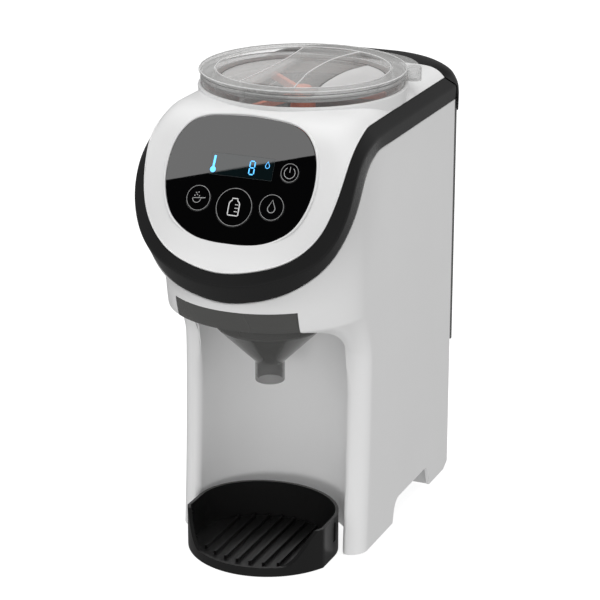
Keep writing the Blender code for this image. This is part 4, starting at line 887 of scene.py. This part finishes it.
def make_lid():
    top, pocket = LID_TOP_Z, LID_POCKET_RADIUS
    plug = pocket + 2.0
    profile = [(0.0, 336.2), (pocket - 3.2, 336.2), (pocket - 1.7, 336.6), (pocket - 0.8, 337.6),
               (pocket, top - 2.6), (pocket + 0.5, top - 1.1), (pocket + 1.5, top - 0.2), (pocket + 2.6, top),
               (LID_RADIUS - 1.4, top), (LID_RADIUS - 0.5, top - 0.3), (LID_RADIUS, top - 0.9),
               (LID_RADIUS, top - 1.8), (LID_RADIUS - 0.4, top - 2.2), (73.2, top - 2.4), (73.2, 338.7),
               (72.9, 338.5), (71.5, 338.5), (71.5, top - 2.4), (plug, top - 2.4), (plug - 0.2, 334.2),
               (0.0, 334.2)]
    lid = turned("lid_shell", profile, 0, CONTAINER_Y, LID_CLEAR, steps=144)
    hollow = [(18.5, -59.0), (14.0, -35.0), (10.5, -15.0), (9.4, 8.0), (10.5, 30.0), (14.5, 46.0),
              (19.5, 58.5)]
    fine = [spline_at(hollow, 6 * k / 24) for k in range(25)]
    left = [(-24.5 + 3.0 * (1 - (y / 57.0) ** 2), y) for y in (57.0 - 6.0 * k for k in range(20))]
    rows = []
    for level, out, sink in ((334.8, 10.0, 0.0), (337.0, 8.6, 0.0), (341.0, 4.6, 0.0), (343.6, 1.4, 0.0),
                             (344.3, 0.4, 0.3), (344.6, -0.4, 0.9)):
        ring = [(x + sink, CONTAINER_Y + y, level) for x, y in left]
        ring += [(x + out, CONTAINER_Y + y * (1.0 - 0.003 * max(out, 0.0)), level) for x, y in fine]
        rows.append(ring)
    bridge = loft("bridge", rows)
    tab = [(31.0, 65.5), (36.0, 64.5), (47.0, 61.0), (57.3, 56.0), (66.0, 48.5), (72.4, 40.0), (76.2, 31.0),
           (77.0, 25.0), (75.8, 19.0), (71.5, 16.5), (66.0, 30.0), (50.0, 52.0), (30.0, 64.0)]
    lug = prism("lug", [(x, CONTAINER_Y + y) for x, y in smooth_outline(tab, 4)], top - 3.5, top - 0.02)
    post_spot = (71.5, CONTAINER_Y + 34.0)
    post = rod("post", (*post_spot, 334.2), (*post_spot, top - 0.5), 5.6, sides=40)
    combine(lid, (JOIN, bridge), (JOIN, lug), (JOIN, post))
    finish_edges(lid, 0.35, 2, 50.0, 42.0)
    place(lid, "lid", "clear_plastic", "container_lid")
    rim = [(64.0, top - 0.35), (73.6, top - 0.35), (73.9, top - 0.8), (73.9, top - 1.8), (64.0, top - 1.8)]
    lid_piece(turned("lid_rim", rim, 0, CONTAINER_Y, RIM_CLEAR, steps=144))
    # the outer and pocket lines are painted highlights; the step, skirt and floor lines are painted shade
    for name, *line in (("outer", LID_RADIUS - 0.75, top - 0.65, 0.45, HIGHLIGHT_LINES),
                        ("pocket", pocket + 1.3, top - 0.55, 0.45, HIGHLIGHT_LINES),
                        ("step", 73.0, 341.9, 0.35, SHADE_LINES), ("skirt", 72.6, 338.9, 0.35, SHADE_LINES),
                        ("floor", pocket - 1.6, 336.9, 0.4, SHADE_LINES)):
        lid_line("lid_edge_" + name, *line)
    # painted highlights along both edges of the hollow between the pockets
    for name, spots, sink in (("lid_edge_left", left, 0.9), ("lid_edge_right", fine, 0.4)):
        line = [point(x - 0.2, CONTAINER_Y + y, top - 0.2 - sink) for x, y in spots]
        lid_piece(tube(name, line, 0.0005, HIGHLIGHT_LINES))
    # a pale sheet in the right pocket: painted light
    right = [(x + 11.0, CONTAINER_Y + y * 0.95) for x, y in fine]
    end = math.degrees(math.atan2(right[-1][1] - CONTAINER_Y, right[-1][0]))
    start = math.degrees(math.atan2(right[0][1] - CONTAINER_Y, right[0][0]))
    right += round_lid(pocket - 2.0, end - 2.0, start + 2.0, 40)
    lid_piece(prism("lid_pocket_right", right, 336.4, 336.9, mat=POCKET_LIGHT_SHEET))
    left = round_lid(pocket - 2.0, 116.5, 243.5, 40)
    lid_piece(prism("lid_pocket_left", left, 336.4, 336.9, mat=LID_CLEAR))
    core = rod("lid_post_core", (*post_spot, 334.4), (*post_spot, top - 1.0), 5.2, RIM_CLEAR, sides=48)
    lid_piece(core, 0.4, 2)
    # a painted shade line along the foot of the right pocket's wall
    foot = [point(x + 9.6, CONTAINER_Y + y * 0.965, 336.3) for x, y in fine]
    lid_piece(tube("lid_edge_foot", foot, 0.0004, SHADE_LINES))
    lid_clip("lid_clip_plate", 73.5, 74.3, 334.2, -101.0, -75.0, 10)
    lid_clip("lid_clip_rib", 73.5, 74.9, 334.2, -102.6, -99.6, 4)
    for k, angle in enumerate((-122.0, -29.0, -22.0, 152.0, 100.0)):
        lid_clip("lid_rib_%d" % k, 73.3, 74.1, 338.8, angle - 0.5, angle + 0.5, 2)


def mixer_socket():
    """The six-sided room for the shaft, through the wheel and into the hub."""
    return rod("socket", (0, CONTAINER_Y, 250), (0, CONTAINER_Y, 285), MIXER_SOCKET_RADIUS, sides=6)


def make_mixer():
    floor = CONTAINER_FLOOR_Z + 2.2 + GAP
    wheel = rod("mixer_wheel", (0, CONTAINER_Y, floor), (0, CONTAINER_Y, floor + 4.0), MIXER_WHEEL_RADIUS,
                SALMON, sides=128)
    tools = [(CUT, mixer_socket())]
    for k in range(8):
        angle = 2 * math.pi * k / 8
        spot = (52.0 * math.cos(angle), CONTAINER_Y + 52.0 * math.sin(angle))
        tools.append((CUT, rod("pocket_%d" % k, (*spot, 250), (*spot, 290), 6.5, sides=32)))
    combine(wheel, *tools)
    place(finish_edges(wheel, 0.4, 2), "mixer", "mixer_plastic", "dosing_wheel")
    low = floor + 4.0 + GAP
    hub = [(0.0, 331.0), (4.6, 331.0), (5.7, 330.5), (6.2, 329.5), (7.4, 325.0), (9.0, 318.0), (11.0, low),
           (0.0, low)]
    hub = turned("mixer_arms", hub, 0, CONTAINER_Y, SALMON, steps=64)
    tools = []
    base = Vector((0.0, CONTAINER_Y))
    for k in range(6):
        first, level, reach = (15, 323.0, 60.0) if k < 3 else (75, 272.0, 61.0)
        turn = math.radians(first + 120 * (k % 3))
        out = Vector((math.cos(turn), math.sin(turn)))
        beside = Vector((-out.y, out.x)) * 2.0
        plan = ((4, -1), (reach - 1, -1), (reach, 0), (reach - 1, 1), (4, 1))
        outline = [tuple(base + out * a + beside * s) for a, s in plan]
        tools.append((JOIN, prism("arm_%d" % k, outline, level, level + 5.0)))
    tools.append((CUT, mixer_socket()))
    combine(hub, *tools)
    place(finish_edges(hub, 0.45, 2), "mixer", "mixer_plastic", "stirrer")


make_container()
make_lid()
make_mixer()


# ---- water tank and its lid
OUTLET_Y = 119.5
TANK_FRONT_Y = 105.5
TANK_REAR_Y = 140.8
TANK_BOTTOM_Z = 107.0
TANK_TOP_Z = 300.0
LID_REAR_Y = 144.0
LID_SKIRT_Z = 291.0
LID_LEVELS = [
    (LID_SKIRT_Z, 73.9, 11.0, 1.4), (300.0, 74.5, 13.0, 0.9), (306.0, 75.1, 16.0, 0.3),
    (312.0, 75.4, 20.0, 0.0), (318.0, 74.6, 25.0, 0.3), (323.0, 73.0, 30.0, 1.2), (327.0, 68.5, 34.0, 2.4),
    (329.6, 62.0, 36.0, 4.0), (331.0, 52.0, 36.0, 7.0), (331.6, 40.0, 34.0, 16.0),
]


def tank_outline(inset=0.0):
    w1, w2 = 69.6 - inset, 72.6 - inset
    corner_x, corner_y = 12.0 - inset, 8.0 - inset
    front, rear = TANK_FRONT_Y + inset, TANK_REAR_Y - inset
    step = SIDE_REAR_Y + 3.4 - inset * 0.8
    half = arc(3.0, 3.0, (w1 - 3.0, front + 3.0), -90, 0, 4) + [(w1, step), (w2, step + 1.0)]
    half += arc(corner_x, corner_y, (w2 - corner_x, rear - corner_y), 0, 90, 14)
    return half + [(-x, y) for x, y in reversed(half)]


def make_tank():
    tank = prism("tank_shell", tank_outline(), TANK_BOTTOM_Z, TANK_TOP_Z, mat=TANK_SMOKED)
    inside = prism("tank_room", tank_outline(2.2), TANK_BOTTOM_Z + 3.0, TANK_TOP_Z + 5.0)
    drain = rod("drain", (0, OUTLET_Y, 100), (0, OUTLET_Y, 115), 6.0)
    combine(tank, (CUT, inside), (CUT, drain))
    place(finish_edges(tank, 0.5, 2, 40.0), "tank", "smoked_plastic", "water_tank")


LID_ROOM = [
    (280.0, 73.2, 12.3, 8.4, 141.4), (TANK_TOP_Z + 0.4, 73.2, 12.3, 8.4, 141.4),
    (TANK_TOP_Z + 1.6, 70.6, 10.0, 7.0, 139.0), (312.0, 70.6, 15.0, 15.0, 139.0),
    (318.6, 70.6, 22.0, 22.0, 139.4),
]


def lid_ring(z, half_width, radius_x, radius_y, rear):
    centre = (half_width - radius_x, rear - radius_y)
    half = [(half_width, y) for y in (84.0, 88.0, 92.0)] + arc(radius_x, radius_y, centre, 0, 90, 24)
    return [(x, y, z) for x, y in half + [(-x, y) for x, y in reversed(half)]]


def make_tank_lid():
    levels = [spline_at(LID_LEVELS, 9 * k / 36) for k in range(37)]
    lid = loft("tank_cap", [lid_ring(z, w, r, r, LID_REAR_Y - stand) for z, w, r, stand in levels], BLACK)
    inside = loft("cap_room", [lid_ring(*level) for level in LID_ROOM])
    corner = [(103.9, 322.9), (114.2, 317.5), (124.4, 312.2), (128.4, 306.0), (132.0, 300.0)]
    curve = [spline_at(corner, 4 * k / 20) for k in range(21)]
    seam = [(103.9, 340.0)] + curve + [(132.0, 280.0), (60.0, 280.0), (60.0, 340.0)]
    combine(lid, (CUT, inside), (CUT, across_x("seam", seam)))
    place(finish_edges(lid, 0.5, 2, 40.0), "tank_cover", "black_trim", "tank_lid")


def make_spring():
    """The valve's spring, a fixed coil of steel wire."""
    low, rise, turns, per_turn, radius = 116.4, 10.0, 4, 24, 5.0
    count = turns * per_turn
    spots = []
    for k in range(count + 1):
        angle = 2 * math.pi * k / per_turn
        x, y = radius * math.cos(angle), OUTLET_Y + radius * math.sin(angle)
        spots.append(point(x, y, low + rise * k / count))
    spring = finish_edges(tube("valve_coil", spots, 0.0005, STEEL, 8), 0)
    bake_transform(spring)
    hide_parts("valve_spring")


make_tank()
make_tank_lid()
make_spring()


# ---- funnel and tray
def dish_outline(half_width, front, z):
    """Plan of the funnel's dish at one height: bowed front, straight sides, round back."""
    swing = math.degrees(math.asin(half_width / HALF_WIDTH))
    outline = arc(HALF_WIDTH, front, (0, AXIS_Y), -90 - swing, -90 + swing, 48)
    outline += [(half_width, AXIS_Y)] + arc(half_width, half_width, (0, AXIS_Y), 10, 170, 40)
    return [(x, y, z) for x, y in outline + [(-half_width, AXIS_Y)]]


def make_funnel():
    z0, z1, neck, mouth = 189.0, 202.7, 142.0, 127.4
    half_width, dish_wall, cone_wall = 45.9, 2.0, 1.7
    low, high = HALF_WIDTH - 5.5, HALF_WIDTH
    dish = [dish_outline(half_width, low, z0 - 1.6), dish_outline(half_width, high, z1)]
    funnel = loft("funnel_cone", dish, SMOKED)
    rise = (high - low) / (z1 - z0 + 1.6)
    room = half_width - dish_wall
    hollow = loft("dish_room", [dish_outline(room, low - dish_wall + rise * 2.0, z0 + 0.4),
                                dish_outline(room, high - dish_wall + rise * 5.0, z1 + 5.0)])
    top, spout = CONE_TOP_Z, SPOUT_RADIUS
    cone = [(0.0, z0), (CONE_RADIUS, z0), (CONE_RADIUS, top + 1.6), (CONE_RADIUS - 0.6, top + 0.2),
            (CONE_RADIUS - 1.4, top - 1.0), (spout + 1.2, neck + 1.6), (spout + 0.3, neck + 0.5),
            (spout, neck - 0.6), (spout, mouth + 0.4), (spout - 0.4, mouth), (0.0, mouth)]
    wide, narrow = CONE_RADIUS - cone_wall, spout - cone_wall
    bore = [(0.0, z0 + 4.0), (wide, z0 + 4.0), (wide, top + 0.8), (narrow, neck + 0.8), (narrow, mouth - 3),
            (0.0, mouth - 3)]
    cone, bore = [turned("cone", profile, 0, AXIS_Y, steps=96) for profile in (cone, bore)]
    combine(funnel, (JOIN, cone), (CUT, hollow), (CUT, bore))
    place(finish_edges(funnel, 0.4, 2, 40.0), "funnel", "smoked_plastic", "funnel")


def make_tray():
    wide, front, back, half_width, thick = 60.5, 63.0, 46.0, 54.0, 2.4
    turn = math.degrees(math.acos(half_width / wide))
    outline = arc(wide, front, (0, AXIS_Y), 180 + turn, 360 - turn, 72)
    outline += [(half_width, AXIS_Y - y) for y in (24.0, 20.0, 16.0, 12.0)]
    outline += arc(half_width, back, (0, AXIS_Y - 8.0), 0, 180, 72)
    outline += [(-half_width, AXIS_Y - y) for y in (12.0, 16.0, 20.0, 24.0)]
    middle = Vector((0.0, AXIS_Y))
    tray = prism("tray_dish", outline, 0.6, 31.0, mat=TRAY_BLACK)
    inner = [tuple(Vector(spot) - (Vector(spot) - middle).normalized() * thick) for spot in outline]
    hollow = prism("tray_room", inner, 3.2, 36.0)
    lip = [(-130.0, 40.0), (-130.0, 7.5)]
    lip += [(-103.5 + 22.5 * f, 7.5 + 24.5 * f * f * (3 - 2 * f)) for f in (k / 20 for k in range(21))]
    lip.append((-81.0, 40.0))
    slot = [(-61.0, 12.5), (-56.6, 12.5), (-56.6, 27.0), (-61.0, 27.0)]
    slot = prism("tray_slot", slot, half_width - 0.9, 60.0, side=True)
    steps = [(CUT, hollow), (CUT, across_x("scoop", lip)), (CUT, slot)]
    rib_radius, rib_middle = 1.1, AXIS_Y - 9.0
    for k in range(8):
        x = -35.0 + 10.0 * k
        reach = math.sqrt(1 - (x / 50.0) ** 2) * 41.0
        rib = arc(rib_radius, rib_radius, (x, rib_middle + reach - rib_radius), 0, 180, 8)
        rib += arc(rib_radius, rib_radius, (x, rib_middle - reach + rib_radius), 180, 360, 8)
        steps.append((JOIN, prism("rib_%d" % k, rib, 2.6, 6.0)))
    combine(tray, *steps)
    place(finish_edges(tray, 0.7, 3, 40.0), "tray", "tray_plastic", "drip_tray")


make_funnel()
make_tray()


# ---- stage, light, camera
CAMERA_SPOT = (0.63206, -1.46434, 0.72795)
CAMERA_TILT, CAMERA_TURN, CAMERA_LENS = 70.73, 23.35, 138.0
ROOM_LEVEL = 0.56                # how bright matt surfaces find the room
GLOSS_LEVEL = (0.15, 0.03)       # what glossy surfaces see: near the floor, and overhead
CARD_EDGE = [(-53.0, 38.0), (51.5, 67.0)]      # where the card's lower edge shows on the panel
CARD_DISTANCE = 1.6
CARD_SIZE = (3.0, 1.6)
CARD_POWER = 55.0
FLOOR_REACH = 8.0
LIGHTS = [                       # name, spot, target, size in metres, watts
    ("top_light", (0.0, -0.3, 2.2), (0.0, 0.0, 0.0), (1.6, 2.0), 25.0),
    ("front_light", (-1.3, -1.9, 1.0), (0.0, 0.0, 0.2), (1.6, 1.6), 3.5),
    ("bay_light", (0.35, -2.5, 0.1), (0.0, 0.0, 0.15), (0.8, 0.8), 20.0),
    ("side_light", (2.5, 0.1, 0.4), (0.0, 0.0, 0.2), (1.2, 1.2), 10.0),
]


def make_stage():
    """A floor that the camera sees white and the object does not see."""
    bm = bmesh.new()
    bm.faces.new([bm.verts.new((FLOOR_REACH * x, FLOOR_REACH * y, 0.0))
                  for x, y in ((-1, -1), (1, -1), (1, 1), (-1, 1))])
    floor = from_bmesh("floor", bm, turn=False)
    made, tree, shader = nodes_of("floor_paper")
    paper = noise(tree, 30.0, 3.0)
    tree.links.new(tint(tree, paper.outputs["Fac"], (0.40, 0.40, 0.40), (0.42, 0.42, 0.42)),
                   shader.inputs["Base Color"])
    shader.inputs["Roughness"].default_value = 0.9
    shader.inputs["Specular IOR Level"].default_value = 0.0
    shader.inputs["Emission Color"].default_value = (1.0, 1.0, 1.0, 1.0)
    shader.inputs["Emission Strength"].default_value = 0.85
    floor.data.materials.append(made)
    floor.visible_diffuse = False
    floor.visible_glossy = False


def area_light(name, spot, target, size, power, glossy=False, diffuse=True):
    data = bpy.data.lights.new(name, "AREA")
    data.shape = "RECTANGLE"
    data.size, data.size_y = size
    data.energy = power
    light = bpy.data.objects.new(name, data)
    bpy.context.scene.collection.objects.link(light)
    light.location = spot
    light.rotation_euler = (Vector(target) - Vector(spot)).to_track_quat("-Z", "Y").to_euler()
    light.visible_glossy = glossy
    light.visible_diffuse = diffuse
    return light


def show_only(light, *starts):
    """Let a light reach only the objects whose names start with one of the given words."""
    reached = bpy.data.collections.new(light.name + "_reaches")
    for obj in bpy.data.objects:
        if obj.name.startswith(starts):
            reached.objects.link(obj)
    light.light_linking.receiver_collection = reached


def make_light():
    """A pale room, seen white by the camera and dark by glossy surfaces, with a soft light overhead."""
    world = bpy.data.worlds.new("studio")
    bpy.context.scene.world = world
    world.use_nodes = True
    world.cycles.sampling_method = "NONE"
    tree = world.node_tree
    back = tree.nodes["Background"]
    path = add(tree, "ShaderNodeLightPath")
    where = add(tree, "ShaderNodeTexCoord")
    split = add(tree, "ShaderNodeSeparateXYZ")
    tree.links.new(where.outputs["Generated"], split.inputs["Vector"])
    sky = remap(tree, split.outputs["Z"], *GLOSS_LEVEL, -0.1, 0.4)
    seen = remap(tree, path.outputs["Is Camera Ray"], ROOM_LEVEL, 1.0, 0.0, 1.0)
    level = remap(tree, path.outputs["Is Glossy Ray"], 0.0, 1.0, 0.0, 1.0)
    tree.links.new(seen, level.node.inputs["To Min"])
    tree.links.new(sky, level.node.inputs["To Max"])
    tree.links.new(level, back.inputs["Strength"])
    back.inputs["Color"].default_value = (1.0, 1.0, 1.0, 1.0)
    for name, *setting in LIGHTS:
        light = area_light(name, *setting)
        if name == "bay_light":
            show_only(light, "body_shell", "funnel", "tray")
    make_card()


def make_card():
    """A bright card seen only in the panel's glass, its lower edge crossing the panel on a slant."""
    eye = Vector(CAMERA_SPOT)
    normal = PANEL_OUT
    on_panel = [point(*panel_point(*spot)) for spot in CARD_EDGE + [(-20.0, 100.0)]]
    behind = eye - normal * (2.0 * (eye - on_panel[0]).dot(normal))
    low, high, above = [spot + (spot - behind).normalized() * CARD_DISTANCE for spot in on_panel]
    across = (high - low).normalized()
    away = ((low + high) / 2 - (on_panel[0] + on_panel[1]) / 2).normalized()
    away = (away - across * away.dot(across)).normalized()
    rise = away.cross(across)
    if rise.dot(above - low) < 0.0:
        across.negate()
        rise.negate()
    card = area_light("card", (0.0, 0.0, 0.0), (0.0, 0.0, 1.0), CARD_SIZE, CARD_POWER, True, False)
    centre = (low + high) / 2 + rise * CARD_SIZE[1] / 2
    turn = Matrix((across, rise, away)).transposed().to_4x4()
    card.matrix_world = Matrix.Translation(centre) @ turn
    show_only(card, "panel_")


def make_camera():
    data = bpy.data.cameras.new("camera")
    data.lens = CAMERA_LENS
    data.sensor_width = 36.0
    camera = bpy.data.objects.new("camera", data)
    bpy.context.scene.collection.objects.link(camera)
    camera.location = CAMERA_SPOT
    camera.rotation_euler = (math.radians(CAMERA_TILT), 0.0, math.radians(CAMERA_TURN))
    bpy.context.scene.camera = camera


make_stage()
make_light()
make_camera()
bpy.context.scene.view_settings.view_transform = "Standard"
